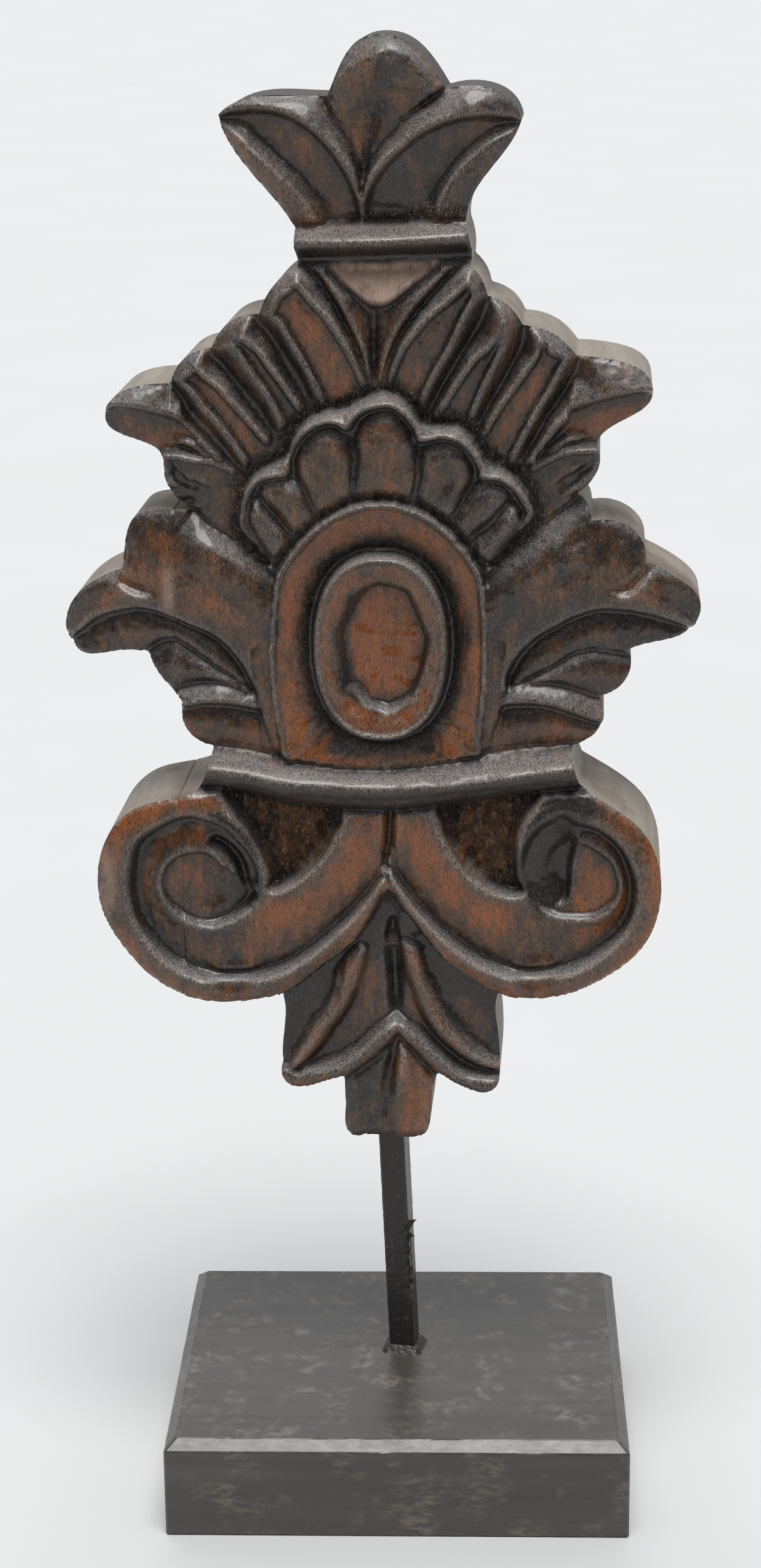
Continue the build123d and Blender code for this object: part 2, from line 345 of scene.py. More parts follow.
def carve_crown_leaf(relief, side, lines, last_bulge, worn):
    """Fold a leaf from its outer edge over the crest to the vein, the brow and the inner edge."""
    outer, crest, vein, brow, edge = lines
    foot = shifted(crest, side * 1.3, 2.6)
    relief.lofts(outer, crest, foot, vein, brow, edge, bulges=(0.9, -0.5, -0.3, -0.2, last_bulge),
                 worn=worn)


def carve_left_crown_leaf(relief):
    """The left leaf, rubbed more than the right one."""
    outer = smooth_curve([(-33.6, 297.0), (-29.6, 300.6), (-25.0, 301.8), (-20.3, 302.0),
                          (-15.5, 301.8), (-11.6, 300.6), (-9.1, 297.2), (-6.3, 293.0), (-3.9, 287.6),
                          (-3.2, 283.5), (-3.35, 280.5)], [14.4, 14.0, 13.8, 13.4, 12.8, 12.2, 11.6])
    crest = smooth_curve([(-33.0, 296.5), (-31.0, 297.4), (-26.5, 298.3), (-21.7, 298.3),
                          (-17.0, 297.0), (-13.1, 294.6), (-9.5, 291.2), (-6.2, 286.6), (-4.3, 282.6),
                          (-3.5, 280.0), (-3.25, 277.0), (-3.1, 273.0)],
                         [13.2, 10.6, 9.0, 8.2, 7.8, 7.7, 7.8, 8.6, 10.2, 10.8])
    vein = smooth_curve([(-32.0, 296.0), (-27.8, 295.1), (-24.1, 292.4), (-19.3, 288.4),
                         (-15.5, 285.0), (-12.3, 281.2), (-10.4, 278.0), (-9.6, 273.0)],
                        [13.6, 12.4, 12.2, 12.2, 12.0, 11.4])
    brow = smooth_curve([(-32.2, 295.6), (-28.9, 293.6), (-25.4, 290.4), (-21.0, 286.2),
                         (-17.2, 282.6), (-14.1, 279.1), (-12.6, 276.4), (-12.1, 273.0)],
                        [13.4, 10.2, 8.9, 8.8, 9.0, 9.8])
    edge = smooth_curve([(-33.8, 296.4), (-32.6, 294.4), (-29.4, 289.4), (-25.6, 284.2),
                         (-21.3, 278.9), (-19.5, 276.5), (-17.6, 273.0)], [14.2, 13.2, 12.4, 12.0, 11.4])
    carve_crown_leaf(relief, -1, (outer, crest, vein, brow, edge), 0.7,
                     ((0.2, 0.1), (0.05, 0.05), (0.15, 0.55, 0.5, 0.1), (0.1, 0.45),
                      (0.3, 0.65, 0.3)))


def carve_right_crown_leaf(relief):
    """The right leaf, darker than the left one."""
    outer = smooth_curve([(30.4, 295.2), (29.2, 298.8), (26.8, 301.8), (23.4, 303.5), (19.7, 303.8),
                          (16.4, 303.4), (13.4, 302.0), (9.5, 299.2), (5.7, 296.3), (1.9, 292.0),
                          (-1.4, 287.2), (-2.8, 283.7), (-3.35, 280.5)],
                         [14.0, 13.8, 13.8, 13.6, 13.0, 12.4, 11.6])
    crest = smooth_curve([(29.8, 295.2), (28.4, 295.7), (25.0, 296.6), (20.2, 297.0), (14.5, 296.0),
                          (9.9, 294.1), (5.7, 291.2), (1.4, 287.1), (-1.4, 283.2), (-2.6, 280.2),
                          (-2.9, 277.0), (-3.1, 273.0)],
                         [13.6, 10.2, 8.4, 7.8, 7.6, 7.7, 7.9, 8.6, 10.2, 10.8])
    vein = smooth_curve([(28.8, 295.0), (25.4, 294.5), (21.1, 292.3), (16.9, 288.8), (14.0, 285.2),
                         (11.6, 281.8), (10.1, 278.6), (9.2, 273.0)], [13.4, 12.2, 12.0, 11.8, 11.2])
    brow = smooth_curve([(29.2, 294.2), (25.3, 292.9), (20.7, 290.1), (16.8, 286.7), (14.2, 283.3),
                         (12.6, 280.2), (11.9, 277.2), (11.7, 273.0)], [13.2, 10.2, 9.3, 9.3, 9.8])
    edge = smooth_curve([(30.2, 294.8), (29.6, 293.6), (27.0, 290.2), (24.6, 286.4), (22.7, 283.0),
                         (20.0, 279.2), (19.2, 277.0), (19.2, 273.0)], [14.0, 13.0, 12.4, 11.8, 11.2])
    carve_crown_leaf(relief, 1, (outer, crest, vein, brow, edge), 0.8,
                     ((0.2, 0.1), (0.05, 0.05), (0.1, 0.35, 0.3, 0.05), (0.1, 0.4),
                      (0.15, 0.3, 0.1)))


def carve_crown_band(relief):
    """The moulded band under the leaves, with a torn crust along the top of it."""
    crust = closed_curve([(-17.0, 276.6), (-8.0, 276.0), (-3.0, 277.4), (4.0, 277.2), (10.0, 279.2),
                          (18.6, 278.4), (19.0, 275.4), (0.0, 273.6), (-17.6, 273.8)])
    relief.rough[relief.inside(crust)] = 0.9
    relief.lofts(
        smooth_curve([(-19.0, 275.4), (0.0, 275.4), (20.5, 276.8)], 11.0),
        smooth_curve([(-19.0, 273.6), (0.0, 273.9), (20.5, 274.8)], [8.6, 7.8, 7.8, 8.6]),
        smooth_curve([(-19.0, 271.6), (0.0, 272.0), (20.5, 272.7)], [7.0, 5.7, 5.7, 7.0]),
        smooth_curve([(-19.0, 269.7), (0.0, 270.3), (20.5, 270.9)], [9.6, 8.8, 8.8, 9.6]),
        smooth_curve([(-19.0, 268.8), (0.0, 269.3), (20.5, 269.8)], [10.8, 10.4, 10.4, 10.8]),
        smooth_curve([(-19.0, 267.0), (0.0, 267.0), (20.5, 267.6)], 10.2),
        bulges=(0.0, 0.7, 0.8, 0.0, -0.2),
        # below the crest the wear goes under 0 and paints the turned-down part of the band black:
        # painted shade, with no dust or sheen on it
        worn=((0.75, 0.55), (0.2, 0.0), (-0.5, -1.2), (-1.2, -0.9), (-0.4, 0.3)),
    )


def carve_stem(relief):
    """The fluted stem and wedge below the crown's band, between the two fans."""
    relief.lofts(
        smooth_curve([(-17.2, 267.8), (-15.0, 266.6), (-11.2, 262.4), (-7.7, 256.4), (-4.4, 250.4),
                      (-1.7, 243.6)], [10.6, 10.6, 9.8]),
        smooth_curve([(-12.6, 267.8), (-9.4, 262.9), (-6.0, 257.0), (-3.5, 251.4), (-1.5, 243.6)],
                     [9.0, 7.4, 7.2, 7.2, 7.4]),
        smooth_curve([(-10.6, 267.8), (-7.0, 262.5), (-4.2, 257.0), (-2.5, 251.5), (-1.2, 243.6)],
                     [9.4, 8.2, 8.4, 8.6]),
        smooth_curve([(-1.0, 267.8), (-0.9, 259.0), (-0.9, 251.5), (-0.9, 243.6)],
                     [9.8, 10.6, 10.6, 10.0]),
        smooth_curve([(12.4, 268.2), (7.4, 262.5), (3.2, 257.0), (1.1, 251.5), (-0.4, 243.6)],
                     [9.4, 8.2, 8.4, 8.6]),
        smooth_curve([(15.4, 268.4), (10.4, 262.7), (5.6, 257.0), (2.6, 251.2), (0.2, 243.6)],
                     [9.0, 7.4, 7.2, 7.2, 7.4]),
        smooth_curve([(19.4, 268.6), (16.8, 266.6), (12.4, 262.3), (7.6, 256.7), (3.6, 250.9),
                      (0.8, 243.6)], [10.6, 10.6, 9.8]),
        bulges=(0.2, 0.2, 0.3, 0.3, 0.2, 0.2),
        worn=((0.1, 0.55), (0.55, 0.3), (0.2, 0.35, 0.0), (0.0, 0.35, 0.2), (0.3, 0.55), (0.55, 0.1)),
    )
    wedge_top = smooth_curve([(-9.6, 267.5), (0.0, 267.5), (12.2, 268.2)], 11.2)
    wedge_low = smooth_curve([(-9.6, 267.2), (-6.6, 264.2), (-4.2, 262.1), (-2.0, 260.5), (0.2, 260.0),
                              (2.2, 260.4), (4.6, 262.0), (7.8, 264.4), (12.2, 267.8)],
                             [10.6, 7.6, 5.8, 7.6, 10.6])
    relief.loft(wedge_top, wedge_low, 0.2, worn=(1.3, 1.2))
    wedge = relief.inside(np.vstack((wedge_top, wedge_low[::-1])))
    relief.rough[wedge] = 0.2
    relief.bare[wedge] = 1.0
    under = shifted(wedge_low, -1.6)
    under[:, 2] = 10.2
    relief.loft(wedge_low, under, worn=(0.0, 0.0))


def carve_fans(relief):
    """Four gouged petals and a wing each side, fanning out from the stem."""
    ground = closed_curve([(-62.0, 236.0), (-46.0, 248.0), (-30.0, 262.0), (-16.0, 270.0),
                           (20.0, 270.0), (34.0, 258.0), (48.0, 252.0), (62.0, 242.0),
                           (48.0, 224.0), (30.0, 206.0), (-26.0, 206.0), (-44.0, 220.0)])
    relief.paint(relief.inside(ground), GROUND_DEPTH, 0.2)
    carve_left_fan(relief)
    carve_right_fan(relief)


# Depths along a petal, one row for its edge and one for its crest: the three that lie over
# another petal, and the lowest one of each fan.
PETAL_EDGE = [9.6, 10.0, 9.0, 9.4, 9.6, 9.0, 8.6, 8.8, 9.6, 9.4]
PETAL_CREST = [6.4, 5.2, 4.6, 4.4, 4.6, 5.0, 5.4, 6.2]
LOW_PETAL_EDGE = [9.8, 10.2, 9.4, 9.0, 9.2, 9.4, 9.2, 8.8, 8.6, 8.4, 7.4, 7.4]
LOW_PETAL_CREST = [6.6, 5.0, 4.2, 3.8, 3.9, 4.4, 5.0, 6.0, 6.6, 6.8, 6.6, 6.8]
LOBE_WIDTHS = [1.2, 1.2, 1.6, 2.4, 3.0, 2.4, 1.8, 1.6]
LOBE_EDGE = [8.6, 8.0, 8.2, 9.8, 10.4, 10.0, 9.8, 9.0]
LOBE_CREST = [7.2, 6.0, 6.0, 7.0, 7.8, 7.6, 7.2, 7.0]


def carve_left_fan(relief):
    """Lowest petal first, so that each lies over the one below."""
    relief.petal([(-27.6, 224.4), (-32.0, 229.0), (-36.0, 232.9), (-39.6, 237.4), (-42.0, 241.0),
                  (-43.2, 245.0), (-48.5, 244.9), (-52.8, 243.6), (-56.2, 241.2), (-58.8, 237.4),
                  (-58.0, 234.6), (-54.9, 232.9), (-51.0, 230.9), (-46.4, 229.0), (-42.4, 231.0),
                  (-38.6, 230.2), (-34.4, 226.8)],
                 [1.8, 2.2, 2.8, 5.0, 7.2, 5.4, 3.2, 2.2, 1.8, 1.6, 0.8, 0.8],
                 LOW_PETAL_EDGE, LOW_PETAL_CREST, 2.3, 0.6, worn=0.95)
    relief.petal([(-21.6, 232.6), (-25.8, 238.2), (-29.6, 243.2), (-33.2, 248.2), (-34.6, 252.0),
                  (-36.6, 252.0), (-39.9, 250.6), (-42.4, 247.8), (-43.6, 243.6), (-40.8, 241.0),
                  (-37.2, 236.9), (-33.4, 232.3), (-28.4, 225.2)],
                 [1.9, 2.2, 2.6, 5.0, 5.0, 3.4, 2.6, 2.6, 2.2],
                 PETAL_EDGE, PETAL_CREST, 2.6, 0.6)
    relief.petal([(-14.2, 238.8), (-17.6, 244.6), (-20.8, 250.0), (-23.3, 254.8), (-24.4, 259.2),
                  (-26.6, 259.3), (-29.7, 258.0), (-32.3, 255.9), (-33.9, 253.1), (-34.4, 250.2),
                  (-31.6, 247.8), (-28.3, 243.4), (-25.0, 239.0), (-21.2, 233.0)],
                 [2.0, 2.3, 2.8, 7.0, 7.4, 5.2, 4.0, 3.6, 2.6],
                 PETAL_EDGE, PETAL_CREST, 2.2, 0.4, worn=0.8)
    relief.petal([(-1.2, 243.0), (-4.2, 250.5), (-7.5, 256.5), (-11.0, 262.3), (-15.4, 268.4),
                  (-19.7, 266.6), (-22.8, 263.8), (-24.4, 259.7), (-24.7, 257.0), (-21.7, 254.2),
                  (-19.7, 251.0), (-16.4, 245.3), (-13.0, 238.2)],
                 [1.7, 1.8, 2.2, 3.8, 4.6, 3.8, 2.8, 2.6, 2.4],
                 PETAL_EDGE, PETAL_CREST, 2.7, 0.6, worn=1.0)


def carve_right_fan(relief):
    """Lowest petal first, as on the left."""
    relief.petal([(28.0, 226.2), (31.2, 231.0), (34.0, 236.2), (37.6, 241.6), (40.6, 246.4),
                  (41.2, 250.6), (44.7, 250.6), (48.9, 250.0), (53.2, 248.0), (56.3, 245.5),
                  (58.3, 242.6), (56.7, 239.6), (52.2, 236.2), (49.7, 234.4), (46.2, 231.9),
                  (43.0, 232.2), (38.8, 231.4), (34.6, 228.4)],
                 [1.8, 2.2, 2.6, 4.6, 6.6, 6.6, 4.8, 3.0, 2.2, 1.8, 1.6, 0.8, 0.8],
                 LOW_PETAL_EDGE, LOW_PETAL_CREST, 2.4, 0.6, worn=0.6)
    relief.petal([(19.6, 233.4), (22.8, 239.4), (26.4, 245.2), (29.2, 250.6), (29.7, 256.9),
                  (33.6, 256.6), (37.0, 255.0), (40.2, 252.4), (41.5, 248.8), (38.6, 243.4),
                  (34.6, 237.0), (31.4, 231.4), (28.2, 225.6)],
                 [1.9, 2.2, 2.8, 4.8, 5.2, 3.6, 2.8, 2.6, 2.2],
                 PETAL_EDGE, PETAL_CREST, 2.6, 0.6, worn=0.75)
    relief.petal([(9.6, 236.2), (13.2, 243.0), (17.0, 249.4), (20.4, 255.0), (22.0, 262.8),
                  (25.4, 261.8), (28.0, 260.2), (29.8, 258.0), (29.9, 254.4), (27.0, 247.4),
                  (23.4, 240.6), (19.8, 233.6)],
                 [2.0, 2.3, 2.8, 5.6, 5.8, 4.6, 3.4, 3.0, 2.2],
                 PETAL_EDGE, PETAL_CREST, 2.4, 0.5, worn=0.6)
    relief.petal([(0.2, 243.0), (3.4, 251.0), (7.4, 256.8), (12.2, 262.4), (18.6, 268.8),
                  (22.2, 266.2), (23.2, 263.5), (23.0, 260.6), (20.0, 255.6), (16.8, 249.6),
                  (13.0, 243.2), (9.2, 235.6)],
                 [1.7, 1.8, 2.2, 3.6, 4.6, 3.4, 2.8, 2.6, 2.4],
                 PETAL_EDGE, PETAL_CREST, 2.7, 0.6, worn=0.7)


TIP_LINES = {
    -1: {
        "top": [(-59.0, 237.2), (-56.4, 241.6), (-52.8, 244.2), (-48.5, 245.4), (-43.0, 245.4),
                (-40.6, 241.2)],
        "ridge": [(-58.9, 236.9), (-55.5, 239.4), (-51.0, 239.6), (-47.0, 238.8), (-43.0, 237.8),
                  (-40.0, 236.4)],
        "low": [(-58.9, 235.0), (-54.9, 232.2), (-51.0, 230.2), (-46.4, 228.6), (-41.4, 231.6),
                (-37.0, 232.0)],
    },
    1: {
        "top": [(58.6, 242.4), (56.6, 245.9), (53.4, 248.5), (49.0, 250.5), (44.7, 251.0),
                (41.4, 250.4), (39.8, 245.4)],
        "ridge": [(58.6, 242.0), (54.0, 242.8), (49.4, 242.2), (45.5, 241.3), (41.8, 240.1),
                  (38.6, 238.8)],
        "low": [(58.8, 241.0), (56.9, 239.0), (52.3, 235.6), (49.7, 233.8), (46.2, 231.3),
                (42.4, 232.6), (38.0, 232.8)],
    },
}


def carve_fan_tips(relief):
    """The outermost point of each fan: a broad lit facet over an open, hollow one."""
    for side, lines in TIP_LINES.items():
        top = smooth_curve(lines["top"], [9.4, 9.4, 9.0, 8.8, 8.6])
        ridge = smooth_curve(lines["ridge"], [6.8, 4.9, 4.0, 3.8, 4.0, 5.0])
        low = smooth_curve(lines["low"], [9.4, 8.8, 8.4, 8.2, 8.0])
        step = shifted(ridge, side * 1.1, 3.3)
        relief.lofts(top, ridge, step, low, bulges=(0.5, 0.0, -0.4),
                     worn=((0.2, 0.1), (0.1, 0.0), (0.0, 0.8, 0.6)))


def carve_lower_fan_lobes(relief):
    """The small lobe tucked under each upper wing."""
    relief.petal([(-30.0, 226.4), (-34.0, 228.4), (-38.4, 229.1), (-42.2, 230.0), (-45.8, 229.4),
                  (-45.8, 224.8), (-45.0, 221.4), (-43.3, 219.3), (-40.4, 217.6), (-37.2, 215.2),
                  (-33.6, 212.0), (-29.4, 208.8), (-24.0, 205.6)],
                 LOBE_WIDTHS, LOBE_EDGE, LOBE_CREST, 1.6, 0.3, worn=0.4)
    relief.petal([(31.0, 227.0), (34.6, 229.2), (38.4, 230.8), (42.4, 231.4), (46.6, 231.0),
                  (46.7, 227.4), (46.4, 225.2), (44.2, 221.9), (41.2, 219.0), (38.2, 216.4),
                  (34.2, 213.4), (29.8, 210.0), (24.4, 205.6)],
                 LOBE_WIDTHS, LOBE_EDGE, LOBE_CREST, 1.6, 0.3, worn=0.35)
    for points, cut in (([(-43.4, 227.6), (-42.8, 223.2)], 1.0), ([(-41.0, 227.4), (-40.4, 221.4)], 1.0),
                        ([(-38.4, 227.0), (-37.6, 219.4)], 0.8), ([(42.6, 229.0), (41.0, 224.0)], 0.8),
                        ([(39.4, 228.6), (37.2, 221.4)], 0.8)):
        relief.groove(points, [0.0, cut, 0.0], 1.1)


SHELL_OUTER = [(-21.8, 203.8), (-27.0, 209.4), (-30.0, 213.8), (-30.0, 216.6), (-29.3, 221.0),
               (-27.5, 224.4), (-24.6, 226.8), (-21.1, 228.6), (-19.8, 229.4), (-19.0, 231.9),
               (-17.5, 234.8), (-14.6, 237.6), (-10.7, 239.1), (-6.9, 239.8), (-4.5, 241.0),
               (-1.1, 242.4), (1.3, 242.9), (3.7, 242.4), (6.2, 241.0), (8.1, 239.0), (9.9, 236.4),
               (12.8, 236.3), (16.7, 236.0), (19.6, 233.8), (22.0, 230.4), (23.3, 228.1),
               (25.7, 227.2), (28.7, 225.2), (31.2, 222.3), (32.7, 218.9), (33.1, 216.0),
               (28.6, 211.0), (22.6, 204.2)]
SHELL_CREST = [(-21.0, 204.2), (-25.0, 208.8), (-28.0, 213.4), (-28.4, 216.0), (-27.6, 219.5),
               (-25.7, 223.0), (-23.0, 224.7), (-19.0, 225.3), (-18.6, 228.4), (-17.1, 231.6),
               (-14.4, 234.4), (-11.1, 236.0), (-8.3, 236.1), (-6.4, 234.9), (-5.0, 236.9),
               (-2.6, 238.7), (1.2, 239.6), (2.9, 239.5), (5.6, 237.7), (7.9, 234.6), (8.6, 232.6),
               (13.2, 233.2), (16.9, 232.0), (19.7, 229.1), (21.1, 226.3), (21.3, 224.7),
               (24.7, 224.5), (27.8, 222.5), (29.8, 219.6), (30.9, 216.8), (26.4, 211.4),
               (21.8, 205.0)]
SHELL_PETALS = [
    [(-17.6, 207.6), (-21.4, 206.8), (-25.0, 210.8), (-27.0, 214.8), (-27.0, 217.8),
     (-25.6, 219.9), (-22.6, 217.4), (-18.6, 212.6)],
    [(-15.0, 210.6), (-19.2, 213.6), (-23.0, 218.2), (-24.8, 221.0), (-24.4, 222.9),
     (-22.2, 223.9), (-19.0, 223.9), (-16.2, 222.4), (-13.6, 218.8), (-11.4, 214.6)],
    [(-9.6, 215.6), (-13.0, 217.0), (-15.4, 221.8), (-16.8, 225.0), (-17.0, 228.2),
     (-15.8, 231.2), (-13.5, 233.4), (-10.4, 234.3), (-7.5, 233.1), (-5.9, 230.5), (-5.1, 226.0),
     (-4.8, 218.6)],
    [(-4.2, 219.4), (-4.6, 228.0), (-4.2, 233.4), (-1.5, 236.8), (2.4, 238.3), (5.3, 236.0),
     (7.3, 232.8), (7.8, 229.0), (7.4, 219.4)],
    [(7.9, 219.2), (8.2, 225.0), (8.9, 229.3), (11.4, 231.2), (15.1, 231.7), (17.8, 230.3),
     (19.1, 227.8), (19.1, 224.6), (17.5, 220.5), (14.6, 215.2)],
    [(14.0, 213.4), (17.8, 219.4), (19.9, 222.4), (22.2, 223.6), (25.4, 222.6), (27.1, 220.8),
     (24.6, 217.2), (20.0, 213.2), (17.6, 210.4)],
    [(18.2, 209.4), (21.8, 213.2), (27.2, 218.8), (29.1, 217.4), (29.4, 215.4), (26.2, 210.8),
     (22.2, 206.8)],
]
SHELL_WEAR = (0.3, 0.4, 0.55, 0.6, 0.45, 0.4, 0.3)
VERGE_WIDTH = 4.5


def shell_spread(points):
    """How far points lie from the root that the shell's petals fan out from."""
    return np.hypot(points[:, 0] * 0.95, points[:, 1] - 202.0)


def carve_shell(relief):
    """The scalloped hood over the arch, with seven petals inside a standing rim."""
    outer = shifted(smooth_curve(SHELL_OUTER, [8.2, 7.0, 6.6, 6.4, 6.4, 6.4, 6.6, 7.0, 8.2]), -1.2)
    crest = smooth_curve(SHELL_CREST, [7.6, 4.6, 3.4, 3.0, 2.8, 2.8, 3.0, 3.4, 4.6, 7.6])
    verge = relief.inside(shifted(outer, VERGE_WIDTH)) & (relief.grid_z > 207.0)
    distance, _, _ = nearest(relief.points(verge), outer)
    share = ease(1.0 - distance / VERGE_WIDTH)
    relief.depth[verge] += (8.8 - relief.depth[verge]) * share
    relief.wear[verge] *= 1.0 - 0.8 * share
    relief.rough[verge] = np.maximum(relief.rough[verge], share)
    relief.loft(outer, crest, 0.1, worn=(0.1, 0.3, 0.6))
    floor = smooth_curve([(-21.0, 204.6), (-17.0, 207.0), (0.0, 210.0), (17.0, 207.0),
                          (22.0, 205.4)])
    mask = relief.inside(np.vstack((crest[:, :2], floor[::-1, :2])))
    points = relief.points(mask)
    distance, high, _ = nearest(points, crest)
    ground = 7.6 - 0.6 * ease((29.0 - shell_spread(points)) / 12.0)
    relief.paint(mask, high + (ground - high) * ease(distance / 0.9), 0.05)
    for outline, worn in zip(SHELL_PETALS, SHELL_WEAR):
        mask, points, distance = relief.patch(shifted(closed_curve(outline), 0.45))
        rise = 1 - (1 - np.clip(distance / 3.4, 0, 1)) ** 2
        root = ease((shell_spread(points) - 15.0) / 9.0)
        relief.paint(mask, 7.3 - (1.2 + 1.3 * root) * rise, worn * rise)
    for points, cut in (([(-13.6, 232.8), (-12.2, 224.0), (-11.6, 218.0)], 0.6),
                        ([(-24.0, 220.6), (-20.0, 215.4), (-18.0, 212.6)], 1.0),
                        ([(2.3, 237.6), (0.8, 230.0), (-0.2, 222.0)], -0.8),
                        ([(17.4, 228.0), (13.2, 222.0), (11.0, 218.4)], 0.7),
                        ([(26.6, 220.0), (21.2, 215.2), (19.0, 213.4)], -0.7)):
        relief.groove(points, [0.0, cut, 0.0], 2.2)


ARCH_LINE = [(-20.7, 161.5), (-21.8, 170.5), (-22.6, 176.1), (-23.0, 182.0), (-23.0, 188.0),
             (-22.7, 193.0), (-22.2, 198.0), (-21.2, 203.9), (-19.5, 206.8), (-17.7, 209.4),
             (-15.2, 212.1), (-12.1, 214.9), (-9.0, 216.9), (-5.9, 218.3), (-2.7, 219.1),
             (0.4, 219.5), (3.5, 219.1), (6.6, 218.2), (9.7, 216.9), (12.2, 215.2), (14.7, 213.0),
             (17.2, 210.2), (19.1, 207.7), (20.7, 204.9), (21.6, 201.7), (22.1, 196.1),
             (22.4, 190.0), (22.3, 184.0), (22.1, 179.3), (21.5, 173.0), (20.5, 163.0)]
BOSS_CENTRE = (0.1, 188.6)
BOSS_HALF = (14.5, 20.2)
OVAL_POWER = 2.25
OVAL_SIDES = 96
TABLE = [(-6.8, 200.2), (-0.2, 203.0), (6.4, 201.2), (10.8, 190.6), (9.4, 183.6), (7.0, 177.6),
         (1.8, 174.6), (-2.8, 176.0), (-8.6, 179.4), (-10.2, 191.8)]


def oval(half_width, half_height):
    """A full, slightly squared oval round the boss's centre."""
    turn = np.linspace(0, 2 * np.pi, OVAL_SIDES + 1)
    x = np.sign(np.cos(turn)) * np.abs(np.cos(turn)) ** (2 / OVAL_POWER) * half_width
    y = np.sign(np.sin(turn)) * np.abs(np.sin(turn)) ** (2 / OVAL_POWER) * half_height
    return np.column_stack((x + BOSS_CENTRE[0], y + BOSS_CENTRE[1], np.zeros(len(turn))))


def carve_arch(relief):
    """The arch and its dished ground, with small ridges at the feet and a standing edge."""
    sides = smooth_curve(ARCH_LINE)
    foot = smooth_curve([(21.0, 165.0), (10.0, 162.6), (0.0, 161.9), (-10.0, 162.4),
                         (-21.2, 163.8)])
    rim = np.vstack((sides, foot, sides[:1]))
    verge = relief.inside(shifted(sides, 3.0)) & (relief.grid_z > 196.0)
    points = relief.points(verge)
    distance, _, _ = nearest(points, sides)
    share = ease(1.0 - distance / 3.0) * ease((points[:, 1] - 199.0) / 8.0)
    relief.depth[verge] += (7.6 - relief.depth[verge]) * share
    relief.rough[verge] = share
    relief.wear[verge] *= 1.0 - 0.6 * share
    mask, points, edge = relief.patch(rim)
    boss = oval(*BOSS_HALF)
    to_boss, _, _ = nearest(points, boss)
    f = np.clip(to_boss / np.maximum(to_boss + edge, 1e-6), 0, 1)
    dish = 9.4 - 4.2 * f ** 0.75
    low = ease((points[:, 1] - 168.0) / 8.0)
    lip = 1.0 * (1 - ease((edge - 0.5) / 0.9)) * low
    side_on = np.abs(points[:, 0]) > 1.02 * np.maximum(178.0 - points[:, 1], 0.0)
    # wear falls to black towards the boss: the groove round its foot is darkened, stain and painted
    # shade
    worn = np.where(side_on | (points[:, 1] > 178.0), 0.95 * ease((to_boss - 1.0) / 4.0),
                    0.9 * ease((4.6 - edge) / 2.5))
    relief.paint(mask, dish - lip, worn * ease((edge - 0.4) / 1.2))
    for line in (sides[:len(sides) // 5], sides[-len(sides) // 5:]):
        relief.groove(shifted(line, 0.5)[::12, :2], [0.9, 1.0, 0.9], 0.9)
    relief.ridge(sides[len(sides) // 4:-len(sides) // 4:14, :2], [0.0, 0.6, 0.7, 0.6, 0.0], 1.0)
    for corner in (-1, 1):
        relief.ridge([(corner * 20.0, 164.6), (corner * 13.5, 171.5), (corner * 9.0, 173.6)],
                     [0.5, 0.8, 0.0], 1.6)


def carve_boss(relief):
    """The oval boss: a steep wall, a scalloped rim and a sunk, faceted middle."""
    mask, points, distance = relief.patch(oval(*BOSS_HALF))
    table = np.array([(x, z, 0.0) for x, z in TABLE + TABLE[:1]])
    in_table = within(points[:, 0], points[:, 1], table[:, :2])
    to_table, _, along = nearest(points, table)
    to_table = np.where(in_table, to_table, 0.0)
    scallop = np.sin(np.pi * len(TABLE) * along) ** 2
    wall = 9.4 - 6.6 * np.clip(distance / 1.0, 0, 1) ** 0.8
    inner = 2.8 + 1.5 * ease((distance - 1.0) / 1.0) + 1.3 * ease((distance - 2.2) / 5.0)
    inner += 0.5 * scallop * ease((distance - 2.0) / 2.0)
    steep = 1.2 + 2.6 * ease((-2.0 - points[:, 0]) / 3.0)
    surface = np.where(distance < 1.0, wall, inner + 2.6 * ease(to_table / steep))
    worn = np.where(in_table, 1.1 * ease((to_table - 0.7 * steep) / 1.0), 0.85)
    worn = np.where(distance < 1.9, 0.2, worn)
    relief.paint(mask, surface, worn)


